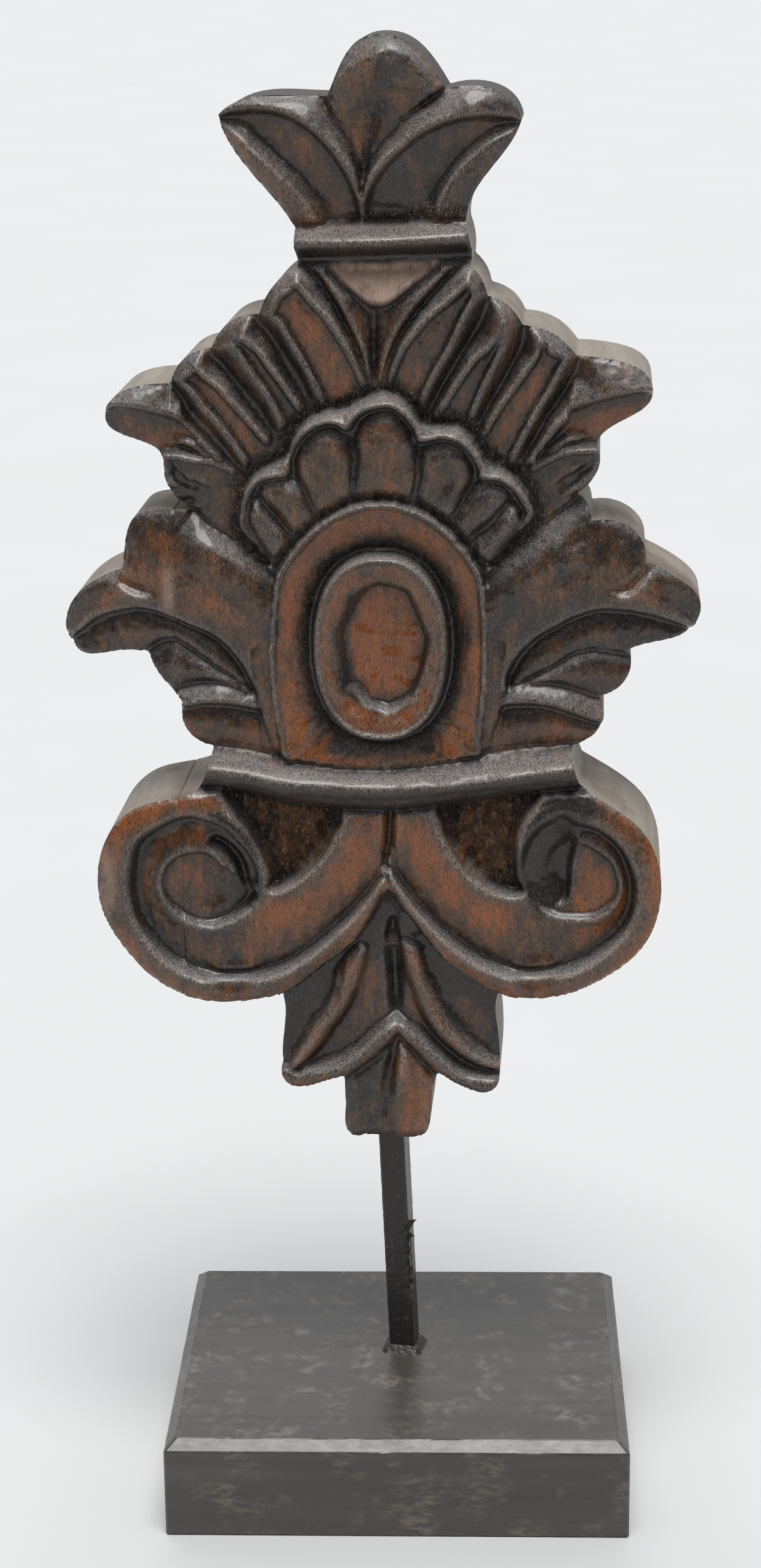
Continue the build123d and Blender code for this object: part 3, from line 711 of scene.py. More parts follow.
WING_LINES = {
    -1: {
        "under fan": [(-40.0, 218.4), (-34.0, 213.2), (-28.0, 209.2), (-21.8, 203.8)],
        "shoulder": [(-42.6, 213.6), (-35.6, 210.2), (-28.4, 205.6), (-22.6, 199.6)],
        "cheek": [(-45.0, 205.4), (-37.0, 203.4), (-30.0, 198.8), (-23.4, 190.4)],
        "back edge": [(-38.0, 219.0), (-45.0, 219.4), (-52.0, 218.4), (-55.4, 212.0), (-55.4, 205.8),
                      (-62.6, 203.0), (-67.2, 197.6), (-68.4, 189.4)],
        "middle": [(-42.0, 214.0), (-46.4, 209.0), (-51.4, 204.6), (-58.8, 199.6), (-65.4, 190.6)],
        "brink": [(-26.2, 178.6), (-28.4, 183.6), (-31.2, 187.8), (-35.1, 191.2), (-40.7, 193.7),
                  (-45.4, 195.6), (-50.2, 196.7), (-55.0, 196.1), (-59.7, 194.4), (-63.5, 191.6),
                  (-68.0, 187.8)],
        "hem": [(-26.4, 177.6), (-31.0, 181.4), (-36.0, 184.6), (-40.0, 187.9), (-44.6, 189.8),
                (-49.0, 188.0), (-52.0, 185.0), (-60.7, 184.8), (-66.0, 184.4), (-69.0, 187.0)],
        "scoop": [(-56.4, 204.2), (-53.5, 201.6), (-50.2, 200.3), (-46.4, 200.4)],
        "curl hollow": [(-39.8, 218.0), (-41.2, 212.6), (-40.4, 208.6), (-37.4, 205.4)],
    },
    1: {
        "under fan": [(43.2, 222.0), (35.8, 216.4), (31.0, 212.8), (25.8, 208.2), (21.8, 203.6)],
        "shoulder": [(44.6, 215.0), (37.6, 212.0), (30.0, 206.8), (24.0, 201.8), (22.4, 198.8)],
        "cheek": [(47.6, 206.4), (38.0, 204.4), (30.0, 199.6), (23.2, 190.4)],
        "back edge": [(43.0, 219.6), (50.6, 216.8), (56.4, 211.0), (56.8, 207.4), (63.4, 204.6),
                      (68.4, 197.4), (68.4, 191.8)],
        "middle": [(43.4, 214.4), (47.0, 209.0), (52.4, 204.6), (59.4, 199.8), (66.0, 192.8)],
        "brink": [(26.2, 182.6), (28.5, 187.2), (32.0, 190.8), (35.8, 193.2), (40.6, 195.8),
                  (45.3, 197.1), (50.1, 197.0), (54.9, 196.2), (59.6, 194.7), (63.4, 193.0),
                  (68.4, 191.0)],
        "hem": [(26.4, 178.2), (30.0, 181.4), (36.0, 184.6), (40.6, 187.5), (45.3, 187.9),
                (49.1, 186.9), (52.8, 186.6), (55.6, 187.0), (63.2, 189.8), (68.2, 190.0)],
        "scoop": [(57.0, 206.4), (54.2, 203.4), (51.4, 201.0), (46.6, 201.6)],
        "curl hollow": [(42.6, 213.4), (40.6, 210.6), (36.9, 210.2)],
    },
}
WING_GROUND = np.array([(21.0, 206.0), (36.0, 219.0), (46.0, 222.0), (58.0, 214.0),
                        (70.0, 200.0), (70.0, 184.0), (54.0, 182.0), (52.0, 170.0),
                        (44.0, 162.0), (20.0, 160.0)])
WING_ARCH_SIDE = np.array([(18.0, 206.0), (23.5, 206.0), (26.5, 190.0), (26.0, 176.0),
                           (22.5, 163.0), (18.0, 163.0)])


def carve_wings(relief):
    """The leaf wings each side of the arch: a raised upper face over a set-back lower one."""
    for side, lines in WING_LINES.items():
        mirror = np.array((side, 1.0))
        region = relief.inside(closed_curve(WING_GROUND * mirror))
        relief.paint(region, 9.4 + 4.6 * ease((np.abs(relief.grid_u[region]) - 58.0) / 6.0), 0.3)
        relief.paint(relief.inside(WING_ARCH_SIDE * mirror), 5.7, 0.5)
        under_fan = smooth_curve(lines["under fan"], [11.8, 10.4, 9.4, 8.2])
        shoulder = smooth_curve(lines["shoulder"], [8.6, 6.2, 5.6, 5.8])
        cheek = smooth_curve(lines["cheek"], [7.0, 5.2, 4.8, 5.6])
        brink = smooth_curve(lines["brink"], [6.6, 6.0, 5.8, 5.8, 6.0, 6.4, 7.0, 8.0, 10.0, 13.6])
        back_edge = smooth_curve(lines["back edge"], [11.0, 11.6, 11.2, 11.6, 12.4, 13.4, 14.4])
        middle = smooth_curve(lines["middle"], [8.0, 7.0, 7.4, 9.4, 12.6])
        arm = brink[int(len(brink) * 0.42):]
        relief.loft(under_fan, shoulder, 0.2, worn=(0.1, 0.3))
        relief.loft(shoulder, cheek, 0.6, worn=(0.35, 0.5))
        relief.loft(cheek, brink[:int(len(brink) * 0.52)][::-1], 0.3, worn=(0.35, 0.6, 0.4, 0.15))
        relief.loft(back_edge, middle, 0.7, worn=(0.2, 0.35))
        relief.loft(middle, arm, 0.3, worn=(0.35, 0.65, 0.3))
        under = shifted(brink, -side * 0.9, 3.4)
        relief.loft(brink, under, worn=(0.0, 0.0))
        hem = smooth_curve(lines["hem"], [8.6, 7.6, 7.4, 8.4, 9.6, 10.6, 11.6, 14.4])
        relief.loft(under, hem, 0.9, worn=(0.1, 0.35, 0.3))
        relief.groove(lines["scoop"], [0.0, 1.6, 1.4, 0.0], 1.8)
        relief.ridge([(x, y - 1.5) for x, y in lines["scoop"]], [0.0, 1.1, 1.0, 0.0], 1.5)
        relief.groove(lines["curl hollow"], [0.5, 0.8, 0.6, 0.0], 2.8)


def part_way(first, second, share, depth):
    """The curve a share of the way from one curve to another, at its own depths."""
    count = max(len(first), len(second))
    rows = []
    for line in (first, second):
        travelled = np.append(0, np.cumsum(np.hypot(*np.diff(line[:, :2], axis=0).T)))
        spots = np.linspace(0, travelled[-1], count)
        rows.append(np.column_stack([np.interp(spots, travelled, line[:, k]) for k in (0, 1)]))
    keys = np.atleast_1d(np.array(depth, float))
    value = np.interp(np.linspace(0, max(len(keys) - 1, 1), count), np.arange(len(keys)), keys)
    return np.column_stack((rows[0] + (rows[1] - rows[0]) * share, value))


LEAF_LINES = {
    -1: {
        "top": [(-26.6, 178.0), (-31.1, 181.2), (-35.0, 184.2), (-39.7, 187.6), (-44.0, 189.7),
                (-50.6, 187.0)],
        "bevel top": [(-24.0, 177.0), (-27.8, 178.4), (-31.1, 179.9), (-35.0, 180.5),
                      (-39.7, 180.0), (-43.6, 178.9), (-51.0, 180.4)],
        "bevel foot": [(-23.2, 174.6), (-28.8, 175.8), (-33.0, 176.6), (-37.8, 176.5),
                       (-42.6, 175.7), (-51.0, 176.0)],
        "bottom": [(-20.4, 163.4), (-28.0, 164.6), (-36.6, 165.2), (-46.0, 166.6)],
        "strip": [(-26.9, 188.0), (-26.7, 182.0), (-25.9, 176.0), (-23.7, 168.0), (-21.2, 163.6)],
        "arch side": [(-23.2, 190.0), (-23.0, 182.0), (-22.5, 176.0), (-21.7, 170.4), (-20.4, 162.6)],
    },
    1: {
        "top": [(26.4, 178.6), (32.0, 181.9), (36.4, 184.9), (41.5, 187.7), (45.3, 188.0),
                (53.0, 186.4)],
        "bevel top": [(22.8, 176.4), (25.0, 178.5), (28.2, 180.3), (33.0, 180.9), (37.7, 180.3),
                      (42.5, 178.6), (46.0, 177.6), (53.0, 178.0)],
        "bevel foot": [(22.8, 175.0), (26.3, 176.7), (31.0, 177.1), (35.8, 176.6), (40.6, 175.0),
                       (45.3, 173.3), (53.0, 172.6)],
        "bottom": [(20.4, 164.0), (28.0, 165.2), (36.0, 166.4), (48.0, 168.0)],
        "strip": [(25.7, 190.0), (25.6, 184.0), (25.3, 176.0), (23.5, 169.0), (20.8, 164.2)],
        "arch side": [(22.6, 190.0), (22.6, 184.0), (22.2, 178.0), (21.6, 172.0), (20.3, 163.0)],
    },
}


def carve_lower_leaves(relief):
    """The rounded leaves between the wings and the sagging band."""
    for side, lines in LEAF_LINES.items():
        top = smooth_curve(lines["top"], [9.6, 9.4, 9.2, 9.8, 11.6])
        low = smooth_curve(lines["bevel top"], [7.4, 8.0, 8.6, 9.0, 10.6])
        crest = smooth_curve(lines["bevel foot"], [6.4, 5.6, 5.2, 5.4, 6.4, 8.6])
        relief.loft(top, low, 1.9, worn=(0.1, 0.4, 0.1))
        relief.loft(low, crest, 0.2, worn=(0.3, 0.1))
        foot = shifted(crest, -side * 1.0, 2.8)
        relief.loft(crest, foot, worn=(0.0, 0.0))
        floor = smooth_curve(lines["bottom"], [7.8, 8.6, 9.0, 10.4])
        relief.loft(foot, floor, 1.6, worn=(0.1, 0.55, 0.4))
        strip = smooth_curve(lines["strip"], [7.2, 6.6, 6.6, 7.2])
        arch_side = smooth_curve(lines["arch side"], [5.4, 5.2, 5.4, 6.4])
        relief.loft(strip, arch_side, 0.2, worn=(0.4, 0.7))


def carve_band(relief):
    """The rolled moulding that sags across the whole width."""
    relief.lofts(
        smooth_curve([(-41.0, 167.0), (-30.0, 166.3), (-21.0, 164.3), (0.0, 162.2), (20.0, 165.3),
                      (30.0, 166.7), (45.0, 168.4)], [8.6, 7.6, 7.0, 6.6, 7.0, 7.6, 8.6]),
        smooth_curve([(-41.0, 165.0), (-30.0, 164.3), (-21.0, 162.6), (0.0, 161.5), (20.0, 163.2),
                      (34.0, 165.0), (45.0, 166.6)], [5.2, 4.6, 4.4, 4.6, 5.2]),
        smooth_curve([(-41.0, 162.8), (-30.0, 161.7), (-20.0, 160.0), (0.0, 159.0), (10.0, 159.6),
                      (20.0, 160.8), (30.0, 162.1), (45.0, 164.0)], [1.9, 1.0, 0.7, 1.0, 1.9]),
        smooth_curve([(-41.0, 160.4), (-30.0, 159.4), (-20.0, 157.6), (0.0, 156.6), (20.0, 158.6),
                      (30.0, 159.8), (45.0, 161.2)], [3.2, 2.2, 1.9, 2.2, 3.2]),
        smooth_curve([(-41.0, 157.4), (-31.8, 157.6), (-25.0, 156.0), (-18.0, 154.5),
                      (-10.9, 153.5), (0.0, 153.0), (10.0, 153.8), (19.0, 155.5), (30.0, 157.1),
                      (45.0, 158.8)], [7.0, 6.4, 6.2, 6.4, 7.0]),
        # below the crest the wear goes under 0 and paints the turned-down half of the roll black:
        # painted shade, with no dust or sheen on it
        bulges=(0.0, 0.9, 0.35, 0.9), worn=((0.6, 0.4), (0.3, 0.0), (-0.7, -1.3), (-1.3, -0.8)),
    )
    ledge = relief.inside(np.array([(-45.0, 168.6), (-30.0, 166.6), (-21.0, 164.4), (0.0, 162.4),
                                    (20.0, 165.4), (45.0, 168.6), (45.0, 165.6), (20.0, 162.6),
                                    (0.0, 160.9), (-21.0, 161.8), (-45.0, 165.0)]))
    relief.rough[ledge] = 0.25
    relief.groove([(8.0, 160.4), (14.0, 161.4), (19.0, 161.3), (27.0, 162.6)],
                  [0.0, 0.6, 0.4, 0.7, 0.0], 0.7)


SCROLL_LINES = {
    -1: {
        "outer": [(1.3, 138.6), (-0.2, 134.1), (-3.4, 128.2), (-5.8, 124.7), (-10.5, 120.6),
                  (-14.6, 117.1), (-19.3, 113.3), (-22.8, 111.4), (-26.8, 110.2), (-32.8, 109.4),
                  (-38.5, 109.5), (-45.3, 111.5), (-51.7, 116.0), (-56.6, 121.4), (-60.2, 127.7),
                  (-61.9, 133.4), (-62.2, 138.7), (-61.1, 144.8), (-58.4, 150.2), (-54.4, 154.3),
                  (-48.6, 156.9), (-42.0, 158.2), (-38.2, 159.0), (-34.2, 155.4), (-31.3, 152.1),
                  (-28.9, 148.7), (-27.0, 145.2), (-25.4, 141.7), (-24.4, 138.5), (-24.6, 135.2)],
        "crease": [(1.3, 140.5), (0.1, 139.1), (-2.3, 135.6), (-5.6, 131.8), (-9.0, 128.2),
                   (-12.8, 124.6), (-16.6, 121.5), (-20.4, 119.1), (-24.2, 117.5),
                   (-30.9, 116.2), (-37.5, 116.5), (-43.2, 118.7), (-48.0, 123.0),
                   (-51.6, 129.1), (-52.9, 135.8), (-52.5, 141.5), (-51.6, 145.3),
                   (-49.0, 147.7), (-46.1, 149.6), (-43.2, 151.0), (-40.4, 151.3),
                   (-36.6, 150.3), (-33.7, 149.1), (-30.9, 146.3), (-28.5, 143.4),
                   (-27.2, 140.1), (-27.0, 136.8)],
        "spiral": [(-26.8, 134.4), (-28.5, 131.5), (-30.9, 129.6), (-33.7, 128.0),
                   (-37.0, 127.0), (-39.9, 127.2), (-42.8, 128.4), (-45.1, 130.6),
                   (-47.0, 133.4), (-47.8, 136.3), (-47.4, 138.9), (-46.1, 141.4),
                   (-43.7, 143.4), (-40.9, 144.2), (-37.0, 143.4), (-34.6, 140.6)],
        "pocket": [(-28.0, 139.6), (-29.6, 143.4), (-32.6, 146.4), (-36.2, 147.8), (-37.6, 145.6),
                   (-34.6, 142.8), (-32.4, 139.6), (-31.4, 135.6), (-29.6, 132.8), (-27.8, 134.8)],
        "arm": [(1.6, 154.2), (-6.6, 153.8), (-7.6, 150.6), (-9.2, 147.7), (-10.7, 144.9),
                (-13.0, 141.4), (-15.9, 138.5), (-18.9, 135.8), (-21.3, 134.3), (-24.6, 134.2)],
        "triangle": [(-33.6, 158.6), (-20.0, 155.8), (-9.0, 154.4), (-8.4, 150.6), (-9.9, 147.7),
                     (-11.4, 144.8), (-13.7, 141.5), (-16.6, 138.8), (-20.0, 136.4),
                     (-24.3, 135.4), (-24.4, 138.5), (-25.4, 141.7), (-27.0, 145.2),
                     (-28.9, 148.7), (-31.3, 152.1)],
    },
    1: {
        "outer": [(1.3, 138.6), (3.4, 133.4), (7.2, 128.2), (10.4, 123.8), (13.6, 119.9),
                  (18.9, 116.1), (24.8, 112.7), (29.0, 111.4), (34.0, 111.2), (41.2, 112.7),
                  (47.7, 115.9), (53.6, 120.2), (58.1, 125.9), (60.1, 132.3), (60.4, 138.9),
                  (59.7, 145.0), (57.0, 150.0), (52.7, 154.3), (47.6, 157.9), (42.6, 160.4),
                  (39.2, 157.8), (35.7, 156.1), (32.7, 154.5), (30.6, 152.4), (29.1, 149.3),
                  (28.6, 145.8), (28.8, 142.5), (29.2, 138.7), (30.1, 135.4), (31.2, 133.4)],
        "crease": [(1.9, 141.0), (2.6, 139.1), (4.5, 136.3), (7.3, 132.5), (10.2, 129.4),
                   (13.0, 126.8), (16.4, 123.9), (19.7, 121.5), (23.5, 119.6), (27.3, 118.2),
                   (31.1, 117.7), (34.5, 118.0), (38.3, 118.9), (41.6, 120.3), (44.5, 122.0),
                   (46.9, 123.9), (49.7, 126.3), (51.6, 129.1), (52.8, 132.5), (53.2, 135.8),
                   (53.0, 138.7), (52.3, 141.5), (51.1, 144.4), (49.2, 146.8), (46.4, 149.1),
                   (43.0, 150.4), (39.2, 151.2), (35.6, 150.8), (33.0, 148.4), (31.4, 144.8),
                   (30.8, 140.8), (31.2, 137.2)],
        "spiral": [(31.4, 135.0), (32.8, 133.2), (35.0, 131.4), (37.8, 130.2), (40.7, 129.8),
                   (43.5, 129.8), (46.4, 130.5), (48.8, 132.4), (50.4, 134.9), (50.9, 137.7),
                   (50.4, 139.9), (49.5, 142.5), (47.8, 144.4), (45.4, 146.0), (42.6, 147.0),
                   (41.0, 145.0)],
        "pocket": [(31.8, 138.6), (32.2, 143.6), (34.4, 148.0), (38.2, 150.0), (41.6, 148.4),
                   (42.4, 145.0), (41.2, 141.0), (41.0, 136.6), (39.6, 132.6), (36.4, 131.8),
                   (33.2, 134.0)],
        "arm": [(1.6, 154.2), (11.4, 153.6), (11.9, 150.1), (13.0, 146.8), (15.0, 143.0),
                (17.3, 139.6), (20.2, 137.2), (23.0, 135.3), (26.4, 134.1), (31.0, 133.8)],
        "triangle": [(11.9, 154.6), (20.0, 155.8), (33.4, 158.4), (30.6, 152.4), (29.1, 149.3),
                     (28.6, 145.8), (28.8, 142.5), (29.2, 138.7), (30.2, 135.2), (26.6, 134.8),
                     (23.2, 136.0), (20.6, 137.9), (17.9, 140.1), (15.6, 143.4), (13.6, 147.0),
                     (12.5, 150.2)],
    },
}


def carve_scrolls(relief):
    """The two arms that roll into volutes, with rough sunk triangles above them."""
    for side, lines in SCROLL_LINES.items():
        arm = smooth_curve(lines["arm"], [4.2, 3.4, 3.2, 3.4, 4.6])
        carve_arm_and_volute(relief, side, lines, arm)
        carve_volute_pocket(relief, side, lines)
        carve_sunk_triangle(relief, side, lines, arm)
    relief.groove([(1.9, 154.4), (1.5, 147.0), (1.1, 140.4), (1.3, 138.8)],
                  [3.6, 3.2, 2.6, 0.6], 1.7)
    relief.melt([(35.0, 134.6), (32.6, 140.0), (34.0, 146.0), (38.4, 150.4)], 4.6, MELT_PASSES,
                keep=())
    stain_and_shade_volutes(relief)


ARM_END = 0.36
MELT_PASSES = 90


def carve_arm_and_volute(relief, side, lines, arm):
    """The arm's face, rolled over towards the crease, and the turns of the volute."""
    outer = smooth_curve(lines["outer"], [4.8, 3.8, 3.6, 3.4, 3.4, 3.2, 3.2, 3.2, 3.6, 4.6])
    crease = smooth_curve(lines["crease"], [6.4, 6.0, 5.6, 5.4, 5.4, 5.4, 5.6, 6.0, 6.4])
    crest = part_way(outer, crease, 0.8, [2.6, 1.6, 1.2, 0.9, 0.7, 0.7, 0.8, 1.4, 2.2, 3.2])
    spiral = smooth_curve(lines["spiral"], [4.0, 3.8, 3.6, 3.4, 3.4, 3.6, 4.6])
    arm_end = int(len(crease) * ARM_END)
    arm_crease = crease[:arm_end]
    relief.loft(arm, arm_crease, 0.6, worn=(0.4, 0.95, 0.9, 0.6, 0.1))
    taper = np.minimum(1.0, (1.0 - np.linspace(0, 1, len(arm_crease))) / 0.4)[:, None]
    roll = arm_crease + (shifted(arm_crease, -side * 2.4) - arm_crease) * taper
    roll[:, 2] = arm_crease[:, 2] + (3.3 - arm_crease[:, 2]) * taper[:, 0]
    relief.loft(roll, arm_crease, 0.7, worn=(0.5, 0.0))
    mouth = relief.inside(np.vstack((crease[arm_end:, :2], arm[-1:, :2])))
    relief.paint(mouth, 3.6, 0.6)
    relief.loft(crease[int(len(crease) * 0.33):], spiral, -0.4, worn=(0.1, 0.75, 0.75, 0.3))
    relief.loft(outer, crest, 0.35, worn=(0.75, 0.95, 0.7, 0.35))
    relief.loft(crest, crease, 0.3, worn=(0.1, 0.0))
    relief.melt([spiral[0, :2], crease[arm_end, :2]], 6.5, MELT_PASSES, keep=(spiral, crease))
    mask = relief.inside(np.vstack((spiral, spiral[:1])))
    points = relief.points(mask)
    distance, high, _ = nearest(points, spiral)
    outward = ease((side * points[:, 0] - 30.0) / 12.0)
    # wear falls towards the eye's inner, deeper side, which is painted black: stain and painted shade
    relief.paint(mask, high + 2.0 * ease(distance / 1.3) + 2.6 * (1.0 - outward),
                 0.95 * outward * ease((distance - 0.8) / 1.5))
    relief.melt([(side * 36.0, 135.5), (side * 41.0, 138.5)], 9.0, MELT_PASSES, keep=(spiral,))


def carve_volute_pocket(relief, side, lines):
    """The dark hollow on the inner side of a volute's eye."""
    mask, points, distance = relief.patch(closed_curve(lines["pocket"]))
    reach = 39.0 if side < 0 else 42.5
    inner = ease((reach - side * points[:, 0]) / 3.0)
    # the wear taken away towards the eye blackens the hollow: stain and painted shade
    relief.paint(mask, np.maximum(relief.depth[mask], 5.4 + 3.4 * ease(distance / 2.2) * inner),
                 relief.wear[mask] * (1.0 - inner))


def carve_sunk_triangle(relief, side, lines, arm):
    """The rough ground above an arm, with a lip along the arm's edge."""
    mask, _, distance = relief.patch(closed_curve(lines["triangle"]))
    relief.paint(mask, 4.6 + 3.6 * ease(distance / 1.0), 0.5)
    relief.rough[mask] = ease((distance - 0.6) / 1.2)
    lip = shifted(arm[int(len(arm) * ARM_END):-8], side * 1.9)
    relief.ridge(lip[::10, :2], [0.3, 1.8, 1.8, 0.3], 1.1)


def stain_and_shade_volutes(relief):
    """Deep black stain and painted shade on the inner part of each volute."""
    for outline in (
        [(28.4, 137.0), (28.8, 146.0), (31.0, 152.6), (36.0, 157.0), (43.6, 159.6), (45.4, 155.0),
         (43.4, 149.6), (41.6, 144.6), (41.2, 137.8), (38.6, 133.0), (33.6, 131.6)],
        [(-25.0, 134.0), (-25.4, 143.0), (-29.6, 150.8), (-35.8, 153.6), (-37.6, 147.4),
         (-33.4, 142.6), (-31.0, 136.0), (-28.4, 131.6)],
    ):
        mask, _, distance = relief.patch(closed_curve(outline))
        relief.wear[mask] += (-1.3 - relief.wear[mask]) * ease(distance / 1.6)


def carve_tail(relief):
    """Two folded leaves, their ribs and the tongue that hangs below them."""
    carve_tail_ground(relief)
    carve_tongue(relief)
    carve_leaf_rims(relief)
    carve_ribs(relief)
    carve_tail_pocket(relief)


def carve_tail_ground(relief):
    """The set-back ground of the tail and the four low fields on it."""
    whole = (relief.grid_z > 105.0) & (relief.grid_z < 159.0) & (np.abs(relief.grid_u) < 66.0)
    relief.paint(whole, 3.4, 0.25)
    below = closed_curve([(-26.0, 114.0), (-14.6, 117.6), (-5.4, 125.0), (1.3, 139.0), (7.4, 128.4),
                          (13.4, 120.4), (26.0, 113.4), (28.0, 86.0), (-26.0, 86.0)])
    low = (relief.grid_z < 112.0) & (np.abs(relief.grid_u) < 26.0)
    relief.paint(relief.inside(below) | low, 7.8, -0.5)
    for edge, worn in (([(-3.6, 122.0), (-6.0, 114.0), (-10.8, 104.0), (-18.4, 94.6), (-9.0, 95.4),
                         (0.4, 104.6), (1.0, 116.0)], 0.5),
                       ([(3.8, 112.0), (4.6, 105.6), (10.4, 99.4), (17.0, 94.4), (23.6, 93.4),
                         (13.6, 101.0), (7.2, 111.0), (4.6, 118.0)], 1.0),
                       ([(-20.6, 109.0), (-13.0, 108.0), (-18.0, 98.0), (-21.4, 95.0)], 0.1),
                       ([(13.0, 111.0), (22.6, 108.4), (23.4, 98.0), (16.4, 103.4)], 0.7)):
        mask, _, distance = relief.patch(closed_curve(edge))
        relief.paint(mask, 7.8 + 0.7 * ease(distance / 3.0), worn * ease(distance / 2.2))


def carve_tongue(relief):
    """The tongue at the very bottom, split by a groove off its middle."""
    mask, points, distance = relief.patch(closed_curve([
        (-8.9, 93.0), (-9.6, 86.5), (-10.0, 81.4), (-8.6, 76.8), (-3.4, 76.2), (4.2, 76.4),
        (10.4, 77.6), (11.4, 83.5), (11.9, 93.4), (7.2, 99.4), (3.0, 105.0), (-1.4, 99.6)]))
    right = ease((points[:, 0] - 1.5) / 2.0)
    relief.paint(mask, 8.0 - (1.6 + 0.9 * right) * ease(distance / 4.0),
                 (0.15 + 0.7 * right) * ease(distance / 3.0))
    relief.groove([(2.6, 104.0), (2.4, 98.8), (1.2, 93.5), (0.4, 89.4), (0.0, 82.0)],
                  [2.2, 2.2, 1.8, 1.4, 0.0], 1.9)
    relief.ridge([(4.4, 99.6), (4.0, 93.0), (3.8, 86.5)], [0.6, 0.9, 0.0], 1.8)


def carve_leaf_rims(relief):
    """Light rims along the leaves' lower edges."""
    for top, low in (
        ([(-23.6, 94.2), (-16.4, 93.8), (-10.5, 95.2), (-5.8, 98.2), (-1.1, 102.8), (2.7, 106.2)],
         [(-23.8, 88.6), (-14.6, 89.3), (-8.9, 91.8), (-5.6, 94.3), (-0.9, 98.0), (2.9, 102.6)]),
        ([(2.7, 106.2), (8.6, 101.2), (12.1, 97.6), (16.0, 94.2), (19.2, 92.9), (27.0, 92.2)],
         [(2.9, 102.6), (7.4, 97.4), (11.7, 93.0), (16.0, 89.6), (22.5, 88.0), (27.0, 88.0)]),
    ):
        rim_top = smooth_curve(top, [6.6, 5.8, 5.4, 5.4, 6.0])
        rim_low = smooth_curve(low, [6.8, 6.4, 6.2, 6.2, 6.6])
        crest = part_way(rim_top, rim_low, 0.35, [5.4, 4.8, 4.6, 4.6, 5.2])
        relief.lofts(shifted(rim_top, 1.0, 2.2), rim_top, crest, rim_low,
                     shifted(rim_low, -0.9, 1.6), bulges=(0.0, 0.2, 0.4, 0.0),
                     worn=((0.0, 0.0), (0.0, 0.1), (0.2, 0.75, 0.4), (0.0, 0.0)))


def carve_ribs(relief):
    """Ribs that run down the leaves, with the deep groove between them."""
    for left_side, right_side in (
        ([(-4.8, 123.4), (-8.1, 119.4), (-9.7, 116.5), (-10.6, 112.9), (-12.5, 108.2),
          (-15.0, 104.1), (-17.4, 100.0), (-21.0, 93.8)],
         [(-3.4, 121.8), (-5.4, 115.3), (-7.2, 110.6), (-9.6, 106.5), (-13.0, 101.6),
          (-16.0, 97.4), (-19.8, 93.2)]),
        ([(4.0, 123.8), (5.1, 117.6), (6.6, 112.9), (8.4, 108.2), (11.2, 103.3), (15.2, 99.1),
          (20.0, 95.7), (25.6, 93.8)],
         [(7.6, 122.6), (9.1, 116.5), (11.5, 111.2), (13.8, 106.1), (17.0, 101.5), (21.0, 98.0),
          (25.8, 95.9)]),
    ):
        left_line = smooth_curve(left_side, [6.8, 6.2, 5.8, 6.0, 6.8])
        right_line = smooth_curve(right_side, [6.8, 6.2, 5.8, 6.0, 6.8])
        spine = part_way(left_line, right_line, 0.5, [5.6, 4.9, 4.4, 4.6, 5.9])
        relief.lofts(shifted(left_line, -1.0, 1.8), left_line, spine, right_line,
                     shifted(right_line, 1.0, 1.8), bulges=(0.0, 0.2, 0.2, 0.0),
                     worn=((0.0, 0.2), (0.5, 0.75), (0.75, 0.5), (0.2, 0.0)))
    relief.groove([(2.0, 121.0), (2.2, 117.0), (2.4, 112.0), (2.7, 105.8)], [2.2, 3.2, 3.0, 1.6], 2.4)
    relief.groove([(-8.9, 118.8), (-9.4, 113.0), (-10.4, 107.6)], [0.9, 0.9, 0.2], 0.8)


def carve_tail_pocket(relief):
    """Ridges that carry the scrolls' rims down to the ribs, and the pocket between them."""
    for points in ([(1.3, 138.4), (-1.8, 131.0), (-5.4, 124.4)],
                   [(1.3, 138.4), (4.2, 131.4), (7.4, 126.6)]):
        relief.ridge(points, [3.0, 2.0, 1.4], 2.6)
    mask, points, distance = relief.patch(closed_curve([
        (1.9, 129.0), (0.2, 125.4), (0.0, 122.9), (1.9, 121.5), (4.1, 122.9), (3.5, 125.6)]))
    sunk = 7.4 + (0.6 * (points[:, 1] - 121.0)).clip(0, 2.6)
    relief.paint(mask, relief.depth[mask] + (sunk - relief.depth[mask]) * ease(distance / 1.0), 0.1)
    relief.groove([(-5.4, 113.9), (0.2, 113.7)], [0.0, 0.35, 0.0], 0.6)


SCUFFS = (((-58.6, 137.0), (2.2, 9.0), 0.55), ((-44.2, 200.5), (1.3, 6.0), 0.6),
          ((52.0, 248.0), (3.0, 1.6), 0.3), ((-50.0, 246.5), (5.0, 1.5), 0.35))


def build_relief():
    """The whole carved face, painted from the ground up."""
    relief = Relief()
    carve_fans(relief)
    carve_fan_tips(relief)
    carve_lower_fan_lobes(relief)
    carve_stem(relief)
    carve_crown(relief)
    carve_wings(relief)
    carve_lower_leaves(relief)
    carve_shell(relief)
    carve_arch(relief)
    carve_boss(relief)
    carve_tail(relief)
    carve_scrolls(relief)
    carve_band(relief)
    relief.fill(12)
    relief.depth = blurred(relief.depth, 1)
    relief.wear = blurred(relief.wear, 3)
    relief.rough = blurred(relief.rough, 2)
    for centre, half, strength in SCUFFS:
        scuff(relief, centre, half, strength)
    relief.bare = blurred(relief.bare, 2)
    hand_work(relief)
    return relief


def scuff(relief, centre, half, strength):
    """A soft oval patch rubbed down to bare wood."""
    away = np.hypot((relief.grid_u - centre[0]) / half[0], (relief.grid_z - centre[1]) / half[1])
    relief.bare = np.maximum(relief.bare, strength * ease(1.4 - away))


